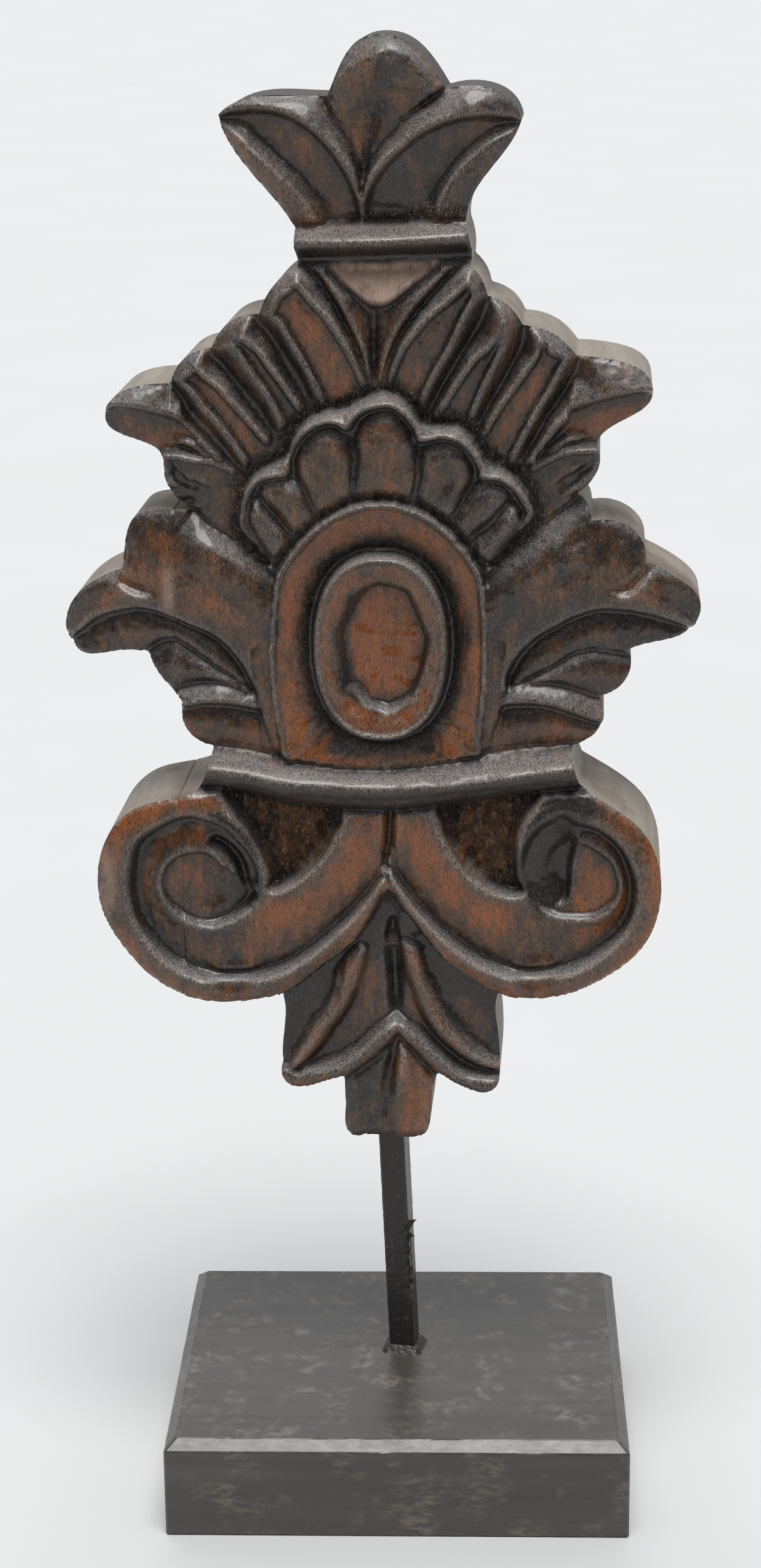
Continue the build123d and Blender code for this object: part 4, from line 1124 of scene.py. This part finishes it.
def hand_work(relief):
    """Unevenness of the chisel: slow waves everywhere, deep tool marks on the rough ground."""
    rng = np.random.default_rng(3)
    waves = blurred(rng.normal(size=relief.depth.shape), 26)
    relief.depth += 0.07 * waves / waves.std()
    grit = blurred(rng.normal(size=relief.depth.shape), 1)
    relief.depth += 0.035 * grit / grit.std() * (1.0 + 3.0 * relief.rough)
    strokes = rng.normal(size=relief.depth.shape)
    for _ in range(5):
        strokes = 0.5 * strokes + 0.25 * (np.roll(strokes, 1, 0) + np.roll(strokes, -1, 0))
    strokes = blurred(strokes, 1)
    relief.depth += 0.26 * strokes / strokes.std() * relief.rough
    relief.depth = np.maximum(relief.depth, 0.05)


# ---------------------------------------------------------------- panel meshes
def back_outline(node):
    """The closed outline of a board's flat back, as (u, z) rows in millimetres."""
    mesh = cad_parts[node].data
    spots = to_board([v.co for v in mesh.vertices])
    keys = [(round(u, 2), round(z, 2)) for u, z, _ in spots]
    seen = set()
    for face in mesh.polygons:
        if all(spots[i][2] > BOARD_THICKNESS - BACK_TOLERANCE for i in face.vertices):
            corners = [keys[i] for i in face.vertices]
            seen.update(zip(corners, corners[1:] + corners[:1]))
    onward = {a: b for a, b in seen if (b, a) not in seen and a != b}
    start = min(onward)
    loop = [start]
    while onward[loop[-1]] != start:
        loop.append(onward[loop[-1]])
    loop = np.array(loop)
    area = np.sum(loop[:, 0] * np.roll(loop[:, 1], -1) - loop[:, 1] * np.roll(loop[:, 0], -1))
    return loop if area > 0 else loop[::-1]


# stands for any distance beyond the strip along an outline that is worked out exactly
FAR = 9.0


def grown(mask, passes):
    """A mask spread by so many grid points."""
    for _ in range(passes):
        for axis in (0, 1):
            mask = mask | np.roll(mask, 1, axis) | np.roll(mask, -1, axis)
    return mask


def signed_distance(relief, outline):
    """Distance to an outline, positive inside it, and the outline as a closed curve."""
    closed = np.vstack((outline, outline[:1]))
    line = np.column_stack((closed, np.zeros(len(closed))))
    inside = relief.inside(outline)
    near = grown(inside, 3) & grown(~inside, 6)
    distance = np.where(inside, FAR, -FAR)
    found, _, _ = nearest(relief.points(near), line)
    distance[near] = np.where(inside[near], found, -found)
    return distance, line


def snap(points, line):
    """Points moved onto the nearest spot of a curve."""
    start, step = line[:-1, :2], np.diff(line[:, :2], axis=0)
    size = np.maximum((step**2).sum(1), 1e-12)
    out = np.empty_like(points)
    for low in range(0, len(points), BLOCK):
        part = points[low:low + BLOCK]
        t = np.clip(((part[:, None] - start) * step).sum(2) / size, 0, 1)
        spots = start + t[..., None] * step
        best = ((part[:, None] - spots) ** 2).sum(2).argmin(1)
        out[low:low + BLOCK] = spots[np.arange(len(part)), best]
    return out


def rounded_depth(relief, line, inside, distance):
    """The carved depth, eased back along the board's free edges but not along the seam."""
    near = inside & (distance < 2.0)
    free = line.copy()
    on_seam = np.abs(line[:, 0] - SEAM_U) < SEAM_TOLERANCE
    free[on_seam, 0] += 50.0
    to_free, _, _ = nearest(relief.points(near), free)
    depth = relief.depth.copy()
    depth[near] += 0.5 * np.clip(1 - to_free / EDGE_ROUNDING, 0, 1) ** 2
    depth[near] += 0.03 * np.clip(1 - distance[near] / 0.5, 0, 1)
    return depth


def outline_crossings(relief, line, inside, distance):
    """Where the outline crosses the grid's edges.

    Returns the place of each crossing in the list by grid edge, the crossings' (u, z), and for
    each the row and column of the grid point just inside it.
    """
    rows, columns = inside.shape
    order, spots, sources = {}, [], []
    for dr, dc in ((0, 1), (1, 0)):
        a = inside[:rows - dr, :columns - dc]
        b = inside[dr:, dc:]
        for r, c in np.argwhere(a != b):
            p, q = distance[r, c], distance[r + dr, c + dc]
            t = p / (p - q)
            order[(r, c, dr)] = len(spots)
            spots.append((relief.u[c] + t * dc * GRID_STEP, relief.z[r] + t * dr * GRID_STEP))
            sources.append((r, c) if a[r, c] else (r + dr, c + dc))
    return order, snap(np.array(spots), line), tuple(np.array(sources).T)


def front_faces(inside, crossing):
    """Faces of the front, cut along the outline, and the rim as steps from point to point."""
    index = np.full(inside.shape, -1)
    index[inside] = np.arange(inside.sum())
    full = inside[:-1, :-1] & inside[1:, :-1] & inside[:-1, 1:] & inside[1:, 1:]
    some = (inside[:-1, :-1] | inside[1:, :-1] | inside[:-1, 1:] | inside[1:, 1:]) & ~full
    r, c = np.nonzero(full)
    squares = (index[r, c], index[r, c + 1], index[r + 1, c + 1], index[r + 1, c])
    faces = np.column_stack(squares).tolist()
    rim = {}
    for r, c in np.argwhere(some):
        ring = [((r, c), (r, c + 1), (r, c, 0)), ((r, c + 1), (r + 1, c + 1), (r, c + 1, 1)),
                ((r + 1, c + 1), (r + 1, c), (r + 1, c, 0)), ((r + 1, c), (r, c), (r, c, 1))]
        corners = [inside[start] for start, _, _ in ring]
        if sum(corners) == 2 and corners[0] == corners[2]:
            # two opposite corners: one triangle round each
            for k in range(4):
                if corners[k]:
                    before, after = crossing[ring[k - 1][2]], crossing[ring[k][2]]
                    faces.append([before, index[ring[k][0]], after])
                    rim[after] = before
            continue
        face, marks = [], []
        for start, end, edge in ring:
            if inside[start]:
                face.append(index[start])
                marks.append(False)
            if inside[start] != inside[end]:
                face.append(crossing[edge])
                marks.append(True)
        faces.append(face)
        for k in range(len(face)):
            if marks[k] and marks[(k + 1) % len(face)]:
                rim[face[k]] = face[(k + 1) % len(face)]
    return faces, rim


def rim_loops(rim):
    """Closed loops of rim points, without loops too small to be part of the board."""
    loops = []
    left = set(rim)
    while left:
        start = min(left)
        loop = [start]
        left.discard(start)
        while rim[loop[-1]] != start:
            loop.append(rim[loop[-1]])
            left.discard(loop[-1])
        if len(loop) >= SMALLEST_LOOP:
            loops.append(loop)
    return loops


def panel_mesh(name, node, relief, fields):
    """A carved board: relief in front, sawn walls round it and a flat back."""
    distance, line = signed_distance(relief, back_outline(node))
    inside = distance > 0
    depth = rounded_depth(relief, line, inside, distance)
    order, spots, sources = outline_crossings(relief, line, inside, distance)
    crossing = {edge: inside.sum() + place for edge, place in order.items()}
    faces, rim = front_faces(inside, crossing)
    loops = rim_loops(rim)
    front_count = len(faces)

    # walls straight back from the rim, and one flat face across the back of each loop
    around = np.concatenate(loops)
    u = np.concatenate((relief.grid_u[inside], spots[:, 0]))
    z = np.concatenate((relief.grid_z[inside], spots[:, 1]))
    d = np.concatenate((depth[inside], depth[sources] + RIM_SETBACK))
    points = to_world(np.append(u, u[around]), np.append(z, z[around]),
                      np.append(d, np.full(len(around), BOARD_THICKNESS)))
    low = len(u)
    backs = []
    for loop in loops:
        for k, after in enumerate([*range(1, len(loop)), 0]):
            faces.append([loop[after], loop[k], low + k, low + after])
        backs.append([low + k for k in reversed(range(len(loop)))])
        low += len(loop)

    mesh = bpy.data.meshes.new(name)
    mesh.from_pydata(points.tolist(), [], faces + backs)
    mesh.validate()
    mesh.polygons.foreach_set("use_smooth", [True] * len(mesh.polygons))
    slots = np.full(len(mesh.polygons), SAWN_SLOT)
    slots[:front_count] = FRONT_SLOT
    mesh.polygons.foreach_set("material_index", slots.tolist())
    sharp_pairs = {frozenset(pair) for ring in loops + backs for pair in zip(ring, ring[1:] + ring[:1])}
    sharp = mesh.attributes.new("sharp_edge", "BOOLEAN", "EDGE")
    sharp.data.foreach_set("value", [frozenset(edge.vertices) in sharp_pairs for edge in mesh.edges])
    for key, field in fields.items():
        values = np.concatenate((field[inside], field[sources]))
        layer = mesh.attributes.new(key, "FLOAT", "POINT")
        layer.data.foreach_set("value", np.append(values, values[around]).astype(np.float32))
    weld(mesh)
    return linked_piece(name, mesh)


def weld(mesh):
    """Outline points that fall on the same spot become one, which removes walls of no width."""
    welded = bmesh.new()
    welded.from_mesh(mesh)
    bmesh.ops.remove_doubles(welded, verts=welded.verts[:], dist=WELD_DISTANCE * MM)
    welded.to_mesh(mesh)
    welded.free()
    mesh.update()


# ---------------------------------------------------------------- node helpers
class Shader:
    """Small helper that adds nodes to one material and links them in order."""

    def __init__(self, name):
        self.material = bpy.data.materials.new(name)
        self.material.use_nodes = True
        self.tree = self.material.node_tree
        self.principled = self.tree.nodes["Principled BSDF"]
        self.spot = None

    def node(self, kind, **settings):
        made = self.tree.nodes.new(kind)
        for key, value in settings.items():
            setattr(made, key, value)
        return made

    def plug(self, value, socket):
        if isinstance(value, bpy.types.NodeSocket):
            self.tree.links.new(value, socket)
        elif isinstance(value, (tuple, list)) and len(value) == 3 and socket.type == "RGBA":
            socket.default_value = (*value, 1.0)
        else:
            socket.default_value = value

    def place(self, stretch=(1.0, 1.0, 1.0), turn=(0.0, 0.0, 0.0)):
        if self.spot is None:
            self.spot = self.node("ShaderNodeTexCoord").outputs["Object"]
        mapping = self.node("ShaderNodeMapping")
        self.plug(self.spot, mapping.inputs["Vector"])
        mapping.inputs["Scale"].default_value = stretch
        mapping.inputs["Rotation"].default_value = turn
        return mapping.outputs["Vector"]

    def noise(self, scale, detail=4.0, rough=0.6, stretch=(1.0, 1.0, 1.0), turn=(0.0, 0.0, 0.0),
              distortion=0.0):
        made = self.node("ShaderNodeTexNoise")
        self.plug(self.place(stretch, turn), made.inputs["Vector"])
        made.inputs["Scale"].default_value = scale
        made.inputs["Detail"].default_value = detail
        made.inputs["Roughness"].default_value = rough
        made.inputs["Distortion"].default_value = distortion
        return made.outputs["Fac"]

    def ramp(self, value, low, high, start=0.0, end=1.0):
        made = self.node("ShaderNodeMapRange", clamp=True)
        self.plug(value, made.inputs["Value"])
        for key, number in (("From Min", low), ("From Max", high), ("To Min", start), ("To Max", end)):
            made.inputs[key].default_value = number
        return made.outputs["Result"]

    def math(self, operation, first, second):
        made = self.node("ShaderNodeMath", operation=operation)
        self.plug(first, made.inputs[0])
        self.plug(second, made.inputs[1])
        return made.outputs[0]

    def mix(self, share, first, second):
        made = self.node("ShaderNodeMix", data_type="RGBA", blend_type="MIX")
        self.plug(share, made.inputs["Factor"])
        self.plug(first, made.inputs["A"])
        self.plug(second, made.inputs["B"])
        return made.outputs["Result"]

    def attribute(self, name):
        made = self.node("ShaderNodeAttribute", attribute_name=name)
        return made.outputs["Fac"]

    def component(self, vector, axis):
        split = self.node("ShaderNodeSeparateXYZ")
        self.plug(vector, split.inputs["Vector"])
        return split.outputs[axis]

    def facing(self, axis):
        """1 on faces that look along an axis, -1 on those that look the other way."""
        return self.component(self.node("ShaderNodeNewGeometry").outputs["Normal"], axis)

    def bump(self, height, strength, distance, normal=None):
        made = self.node("ShaderNodeBump")
        self.plug(height, made.inputs["Height"])
        made.inputs["Strength"].default_value = strength
        made.inputs["Distance"].default_value = distance
        if normal is not None:
            self.plug(normal, made.inputs["Normal"])
        return made.outputs["Normal"]

    def finish(self, color, roughness, normal=None, **constants):
        self.plug(color, self.principled.inputs["Base Color"])
        self.plug(roughness, self.principled.inputs["Roughness"])
        if normal is not None:
            self.plug(normal, self.principled.inputs["Normal"])
        for key, value in constants.items():
            self.principled.inputs[key.replace("_", " ")].default_value = value
        return self.material


def carved_material():
    """Dark stained wood: near-black in the cuts, from stain and painted shade, orange-brown where it is
    rubbed, with dust and painted sheen on what faces up.
    """
    s = Shader("carved_face")
    grain = s.noise(1100.0, 5.0, 0.65, (1.0, 1.0, 0.08))
    mottle = s.noise(300.0, 5.0, 0.7, (1.0, 1.0, 0.5), distortion=0.4)
    patches = s.noise(75.0, 4.0, 0.6, (1.0, 1.0, 0.55))
    fine = s.noise(3400.0, 3.0, 0.7, (1.0, 1.0, 0.35))
    up = s.ramp(s.facing("Z"), 0.32, 0.85)
    rough = s.attribute("rough")
    cavity = s.attribute("cavity")

    black = s.mix(grain, (0.008, 0.006, 0.005), (0.034, 0.024, 0.018))
    brown = s.mix(grain, (0.040, 0.018, 0.008), (0.155, 0.076, 0.036))
    orange = s.mix(grain, (0.120, 0.028, 0.004), (0.430, 0.135, 0.030))
    wear = s.math("ADD", s.attribute("wear"), s.ramp(patches, 0.3, 0.7, -0.38, 0.28))
    wear = s.math("ADD", wear, s.ramp(mottle, 0.3, 0.7, -0.45, 0.38))
    color = s.mix(s.ramp(wear, 0.05, 0.55), black, brown)
    color = s.mix(s.ramp(wear, 0.5, 1.05), color, orange)
    # dust and painted sheen on what faces up, rubbed wear and painted highlight on convex crests, stain
    # and painted shade in the cuts, pale specks in the open grain
    # fades the dust, the painted sheen and the painted edge highlights out where wear is below 0, on
    # black stain and painted shade
    dust_and_highlight_gate = s.ramp(s.attribute("wear"), -1.0, -0.2, 0.12, 1.0)
    dust_and_sheen = s.math("MULTIPLY", s.math("MULTIPLY", up, dust_and_highlight_gate), s.ramp(fine, 0.38, 0.62, 0.12, 0.90))
    color = s.mix(dust_and_sheen, color, (0.380, 0.356, 0.346))
    # convex crests lightened: partly rubbed wear, partly painted highlight
    rubbed = s.math("MULTIPLY", s.ramp(cavity, -0.15, -0.75), s.ramp(fine, 0.4, 0.6, 0.1, 0.45))
    rubbed = s.math("MULTIPLY", rubbed, dust_and_highlight_gate)
    color = s.mix(rubbed, color, (0.165, 0.130, 0.108))
    # the cuts darkened towards black: stain gathered in them and painted shade
    color = s.mix(s.ramp(cavity, 0.3, 1.6, 0.0, 0.92), color, (0.006, 0.005, 0.004))
    color = s.mix(s.ramp(fine, 0.47, 0.36, 0.0, 0.7), color, (0.008, 0.006, 0.005))
    specks = s.math("MULTIPLY", s.ramp(fine, 0.57, 0.66), s.ramp(rough, 0.0, 1.0, 0.36, 0.90))
    color = s.mix(specks, color, (0.30, 0.225, 0.165))
    # up-facing arrises lightened: partly rubbed wear, partly painted highlight
    edge = s.ramp(s.attribute("arris"), 0.10, 0.45)
    edge = s.math("MULTIPLY", edge, s.ramp(fine, 0.40, 0.58, 0.05, 0.75))
    edge = s.math("MULTIPLY", edge, dust_and_highlight_gate)
    edge = s.math("MULTIPLY", edge, s.ramp(s.facing("Z"), -0.05, 0.45, 0.2, 1.0))
    color = s.mix(edge, color, (0.42, 0.365, 0.325))
    bare = s.math("MULTIPLY", s.attribute("bare"), s.ramp(mottle, 0.35, 0.5, 0.25, 1.0))
    color = s.mix(bare, color, s.mix(fine, (0.20, 0.115, 0.075), (0.60, 0.46, 0.37)))
    roughness = s.ramp(s.noise(500.0, 4.0, 0.6), 0.3, 0.7, 0.22, 0.38)
    roughness = s.math("ADD", roughness, s.ramp(rough, 0.0, 1.0, 0.0, 0.35))
    roughness = s.math("ADD", roughness, s.math("MULTIPLY", bare, 0.35))
    torn = s.math("MULTIPLY", s.noise(900.0, 4.0, 0.7, (1.0, 1.0, 0.5)), rough)
    normal = s.bump(torn, 1.0, 0.0014)
    normal = s.bump(grain, 0.6, 0.0003, normal)
    normal = s.bump(fine, 0.5, 0.0002, normal)
    s.plug(s.ramp(s.math("ADD", rough, bare), 0.0, 0.8, 0.5, 0.0), s.principled.inputs["Coat Weight"])
    return s.finish(color, roughness, normal, Specular_IOR_Level=0.32, Coat_Roughness=0.16)


def sawn_material():
    """Bare wood, grey-beige: saw streaks across the board's edges, upright grain on its back."""
    s = Shader("sawn_wood")
    saw_marks = s.noise(420.0, 5.0, 0.6, (1.0, 0.08, 1.0))
    grain = s.noise(380.0, 5.0, 0.65, (1.0, 1.0, 0.05), distortion=0.3)
    streaks = s.mix(s.ramp(s.facing("Y"), 0.6, 0.9), saw_marks, grain)
    patches = s.noise(45.0, 4.0, 0.6, (1.0, 1.0, 0.3))
    color = s.mix(streaks, (0.18, 0.148, 0.115), (0.42, 0.37, 0.31))
    color = s.mix(s.ramp(patches, 0.5, 0.7), color, (0.15, 0.10, 0.07))
    top_stain = s.ramp(s.component(s.place(), "Z"), 0.292, 0.297, 0.0, 0.85)
    color = s.mix(top_stain, color, (0.035, 0.030, 0.027))
    normal = s.bump(streaks, 0.4, 0.0005)
    return s.finish(color, 0.7, normal)


def base_material():
    """Black-stained plank: glossy, faintly streaked, scraped to grey and beige in places."""
    s = Shader("base_stain")
    streaks = s.noise(240.0, 5.0, 0.6, (0.10, 1.0, 1.0))
    slanted = s.noise(900.0, 4.0, 0.65, (0.35, 0.35, 1.0), turn=(0.0, 0.0, 0.6))
    spots = s.noise(90.0, 4.0, 0.6)
    color = s.mix(streaks, (0.032, 0.029, 0.025), (0.105, 0.094, 0.081))
    scraped = s.math("MULTIPLY", s.ramp(spots, 0.48, 0.66), s.ramp(slanted, 0.45, 0.62))
    color = s.mix(s.math("MULTIPLY", scraped, 0.8), color, (0.21, 0.172, 0.128))
    roughness = s.ramp(slanted, 0.3, 0.7, 0.24, 0.36)
    normal = s.bump(streaks, 0.25, 0.0003)
    normal = s.bump(slanted, 0.25, 0.00015, normal)
    return s.finish(color, roughness, normal, Specular_IOR_Level=0.6)


def post_material():
    """Black-stained stick with upright grain and a few pale flecks."""
    s = Shader("post_stain")
    grain = s.noise(500.0, 5.0, 0.6, (1.0, 1.0, 0.06))
    flecks = s.noise(1500.0, 3.0, 0.6, (1.0, 1.0, 0.4))
    color = s.mix(grain, (0.008, 0.006, 0.005), (0.045, 0.034, 0.028))
    color = s.mix(s.ramp(flecks, 0.62, 0.72, 0.0, 0.7), color, (0.16, 0.12, 0.09))
    normal = s.bump(grain, 0.5, 0.0004)
    return s.finish(color, 0.36, normal)


def glue_material():
    """Dark, lumpy crust of dried glue."""
    s = Shader("dried_glue")
    spots = s.noise(900.0, 3.0, 0.6)
    color = s.mix(s.ramp(spots, 0.5, 0.7), (0.018, 0.014, 0.012), (0.12, 0.09, 0.065))
    normal = s.bump(spots, 0.5, 0.0006)
    return s.finish(color, 0.35, normal)


def floor_material():
    """Plain pale floor, one colour all over with a faint mottle."""
    s = Shader("floor")
    color = s.mix(s.noise(6.0, 4.0, 0.6), (0.665, 0.660, 0.645), (0.700, 0.700, 0.695))
    return s.finish(color, 0.8, Specular_IOR_Level=0.0)


# ---------------------------------------------------------------- set
CAMERA_SPOT = (0.016205, -0.60038, 0.337443)
CAMERA_TURN = (-1.85, 16.75, -0.61)


def make_camera():
    """The camera, from its spot and its yaw, downward pitch and roll in degrees."""
    data = bpy.data.cameras.new("camera")
    data.lens = 67.25
    data.sensor_width = 36.0
    data.sensor_fit = "AUTO"
    data.clip_start = 0.01
    data.clip_end = 200.0
    yaw, pitch, roll = (math.radians(degrees) for degrees in CAMERA_TURN)
    forward = Vector((math.sin(yaw) * math.cos(pitch), math.cos(yaw) * math.cos(pitch),
                      -math.sin(pitch)))
    right = Vector((math.cos(yaw), -math.sin(yaw), 0.0))
    up = right.cross(forward)
    right_rolled = right * math.cos(roll) + up * math.sin(roll)
    up_rolled = up * math.cos(roll) - right * math.sin(roll)
    turn = Matrix((right_rolled, up_rolled, -forward)).transposed().to_4x4()
    camera = linked_piece("camera", data)
    camera.matrix_world = Matrix.Translation(CAMERA_SPOT) @ turn
    bpy.context.scene.camera = camera


def make_sun(name, energy, width, tilt, lean):
    """One very wide, soft sun, the same all over the floor; width and angles in degrees."""
    data = bpy.data.lights.new(name, "SUN")
    data.energy = energy
    data.angle = math.radians(width)
    lamp = linked_piece(name, data)
    lamp.rotation_euler = (math.radians(tilt), math.radians(lean), 0.0)


def make_floor():
    """A plain square of floor, 120 m across, so that its far edge is never seen close by."""
    mesh = bpy.data.meshes.new("floor")
    reach = 60.0
    corners = [(-reach, -reach, 0), (reach, -reach, 0), (reach, reach, 0), (-reach, reach, 0)]
    mesh.from_pydata(corners, [], [(0, 1, 2, 3)])
    mesh.materials.append(floor_material())
    floor = linked_piece("floor", mesh)


def make_world():
    """A studio tent: bright overhead and behind, dim on the side the viewer stands."""
    world = bpy.data.worlds.new("studio")
    world.use_nodes = True
    tree = world.node_tree
    background = tree.nodes["Background"]
    background.inputs["Color"].default_value = (0.90, 0.94, 1.0, 1.0)
    coordinates = tree.nodes.new("ShaderNodeTexCoord")
    split = tree.nodes.new("ShaderNodeSeparateXYZ")
    spread = tree.nodes.new("ShaderNodeMath")
    spread.operation = "MULTIPLY_ADD"
    spread.inputs[1].default_value = 0.7
    strength = tree.nodes.new("ShaderNodeMapRange")
    strength.inputs["From Min"].default_value = -0.5
    strength.inputs["From Max"].default_value = 1.0
    strength.inputs["To Min"].default_value = 0.10
    strength.inputs["To Max"].default_value = 0.62
    tree.links.new(coordinates.outputs["Generated"], split.inputs["Vector"])
    tree.links.new(split.outputs["Y"], spread.inputs[0])
    tree.links.new(split.outputs["Z"], spread.inputs[2])
    tree.links.new(spread.outputs["Value"], strength.inputs["Value"])
    tree.links.new(strength.outputs["Result"], background.inputs["Strength"])
    bpy.context.scene.world = world


# ---------------------------------------------------------------- block and post
def ring_mesh(name, node, rings, material, extras=()):
    """A closed mesh through rings of points (mm, world), capped at both ends.

    Each of extras is the four corners of a splinter, added as a closed mesh of its own.
    """
    size = len(rings[0])
    points = np.vstack(rings)
    faces = []
    for low in range(0, len(points) - size, size):
        for i in range(size):
            j = (i + 1) % size
            faces.append((low + i, low + j, low + size + j, low + size + i))
    faces.append(tuple(range(size))[::-1])
    faces.append(tuple(range(len(points) - size, len(points))))
    for corners in extras:
        start = len(points)
        points = np.vstack((points, corners))
        faces += [(start, start + 2, start + 1), (start, start + 1, start + 3),
                  (start + 1, start + 2, start + 3), (start + 2, start, start + 3)]
    mesh = bpy.data.meshes.new(name)
    mesh.from_pydata([tuple(point * MM) for point in points], [], faces)
    mesh.materials.append(material)
    mesh.update()
    piece = linked_piece(name, mesh)
    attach(piece, "root")
    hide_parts(node)
    return piece


def node_points(node):
    """A CAD node's corners in world millimetres."""
    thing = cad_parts[node]
    return np.array([thing.matrix_world @ vertex.co for vertex in thing.data.vertices]) / MM


CORNER_CUT = 0.5
SIDE_POINTS = 90


def ragged_line(rng, start, end, ragged):
    """One side of the block, nibbled inwards: a slow waver and a few sharper nicks."""
    start, end = np.array(start), np.array(end)
    line = start + (end - start) * np.linspace(0, 1, SIDE_POINTS)[:, None]
    inward = np.array((start[1] - end[1], end[0] - start[0])) / np.linalg.norm(end - start)
    noise = np.convolve(rng.random(SIDE_POINTS + 6), np.ones(7) / 7, "valid")
    noise += 1.5 * np.convolve(rng.random(SIDE_POINTS + 2) > 0.96, (0.3, 0.4, 0.3), "valid")
    return line + inward * (noise * ragged)[:, None]


def make_base():
    """The block with a worn, slightly ragged arris round its bevelled top."""
    corners = node_points("base_block")
    low, high = corners.min(0), corners.max(0)
    rng = np.random.default_rng(5)
    rings = []
    for inset, z, ragged in ((0.35, low[2], 0.0), (0.0, low[2] + 0.35, 0.05),
                             (0.0, high[2] - 2.45, 0.10), (0.08, high[2] - 2.15, 0.16),
                             (0.25, high[2] - 1.95, 0.12), (2.3, high[2] - 0.18, 0.10),
                             (2.5, high[2] - 0.05, 0.14), (2.85, high[2], 0.0)):
        west, south = low[0] + inset, low[1] + inset
        east, north = high[0] - inset, high[1] - inset
        ring = np.vstack([ragged_line(rng, start, end, ragged) for start, end in (
            ((west + CORNER_CUT, south), (east - CORNER_CUT, south)),
            ((east, south + CORNER_CUT), (east, north - CORNER_CUT)),
            ((east - CORNER_CUT, north), (west + CORNER_CUT, north)),
            ((west, north - CORNER_CUT), (west, south + CORNER_CUT)),
        )])
        rings.append(np.column_stack((ring, np.full(len(ring), z))))
    ring_mesh("base_worn", "base_block", rings, base_material())


POST_HALF = 2.9
POST_RINGS = 110
POST_YAW = math.radians(-11.0)
POST_AHEAD = np.array((math.cos(POST_YAW), math.sin(POST_YAW)))
POST_ACROSS = np.array((-POST_AHEAD[1], POST_AHEAD[0]))


def post_profile():
    """The post's square section, its corners rubbed down a little."""
    profile = []
    for x, y in ((1, 0), (0, 1), (-1, 0), (0, -1)):
        for t in (-1.0, -0.86, -0.5, 0.0, 0.5, 0.86):
            shrink = 0.93 if abs(t) == 1.0 else 1.0
            profile.append(((x - y * t) * shrink, (y + x * t) * shrink))
    return np.array(profile) * POST_HALF


def splinter(centre, z, reach, rise):
    """Four corners of a splinter: three inside the post's torn edge and a tip outside it."""
    x, y = centre + POST_AHEAD * POST_HALF * 0.92 - POST_ACROSS * POST_HALF * 0.75
    return np.array(((x, y, z - 0.9), (x - 0.3, y + 1.1, z), (x - 0.1, y - 0.1, z + 0.9),
                     (x + reach, y - 0.3, z + rise)))


def make_post():
    """The square post with rubbed corners and a torn, splintered edge half-way up."""
    corners = node_points("post")
    foot, head = corners[:, 2].min(), corners[:, 2].max()
    low = corners[corners[:, 2] < foot + 6.0].mean(0)
    top = corners[corners[:, 2] > head - 6.0].mean(0)

    def centre_at(z):
        return low[:2] + (top[:2] - low[:2]) * ((z - low[2]) / max(top[2] - low[2], 1e-6))

    rng = np.random.default_rng(11)
    profile = post_profile()
    bitten = (profile[:, 0] > 0.8 * POST_HALF) & (profile[:, 1] < -0.3 * POST_HALF)
    rings = []
    for z in np.linspace(foot, head, POST_RINGS):
        wobble = 1.0 - 0.02 * rng.random(len(profile))
        shape = profile * wobble[:, None]
        torn = ease((z - 35.0) / 3.0) * ease((55.0 - z) / 2.0)
        shape[bitten] *= 1.0 - 0.14 * torn * rng.random((bitten.sum(), 1))
        place = centre_at(z) + shape[:, :1] * POST_AHEAD + shape[:, 1:] * POST_ACROSS
        rings.append(np.column_stack((place, np.full(len(place), z))))
    splinters = [splinter(centre_at(z), z, reach, rise) for z, reach, rise in (
        (53.6, 2.1, 1.2), (52.4, 1.7, 2.2), (51.2, 1.5, -0.6), (49.6, 0.9, 1.6), (46.8, 0.6, 1.2),
        (43.0, 0.7, -1.0), (39.4, 0.5, 0.8))]
    ring_mesh("post_worn", "post", rings, post_material(), splinters)


def make_panels():
    """The four boards, cut from one relief so that it runs unbroken over the seam."""
    relief = build_relief()
    cavity = relief.depth - blurred(relief.depth, 40)
    arris = blurred(relief.depth, 6) - relief.depth
    fields = {"cavity": cavity, "arris": arris, "wear": relief.wear, "rough": relief.rough,
              "bare": relief.bare}
    face, sawn = carved_material(), sawn_material()
    for node in ("main_board", "left_top_wing", "left_middle_wing", "left_scroll"):
        piece = panel_mesh(node + "_carved", node, relief, fields)
        piece.data.materials.append(face)
        piece.data.materials.append(sawn)
        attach(piece, "root")
        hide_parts(node)


bpy.context.scene.view_settings.view_transform = "Standard"
make_camera()
make_world()
make_floor()
make_sun("roof", 2.12, 30.0, 16.0, 3.0)
make_sun("back_roof", 0.55, 36.0, -34.0, -6.0)
make_panels()
make_base()
make_post()
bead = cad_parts["foot_glue_bead"]
bead.data.materials.clear()
bead.data.materials.append(glue_material())
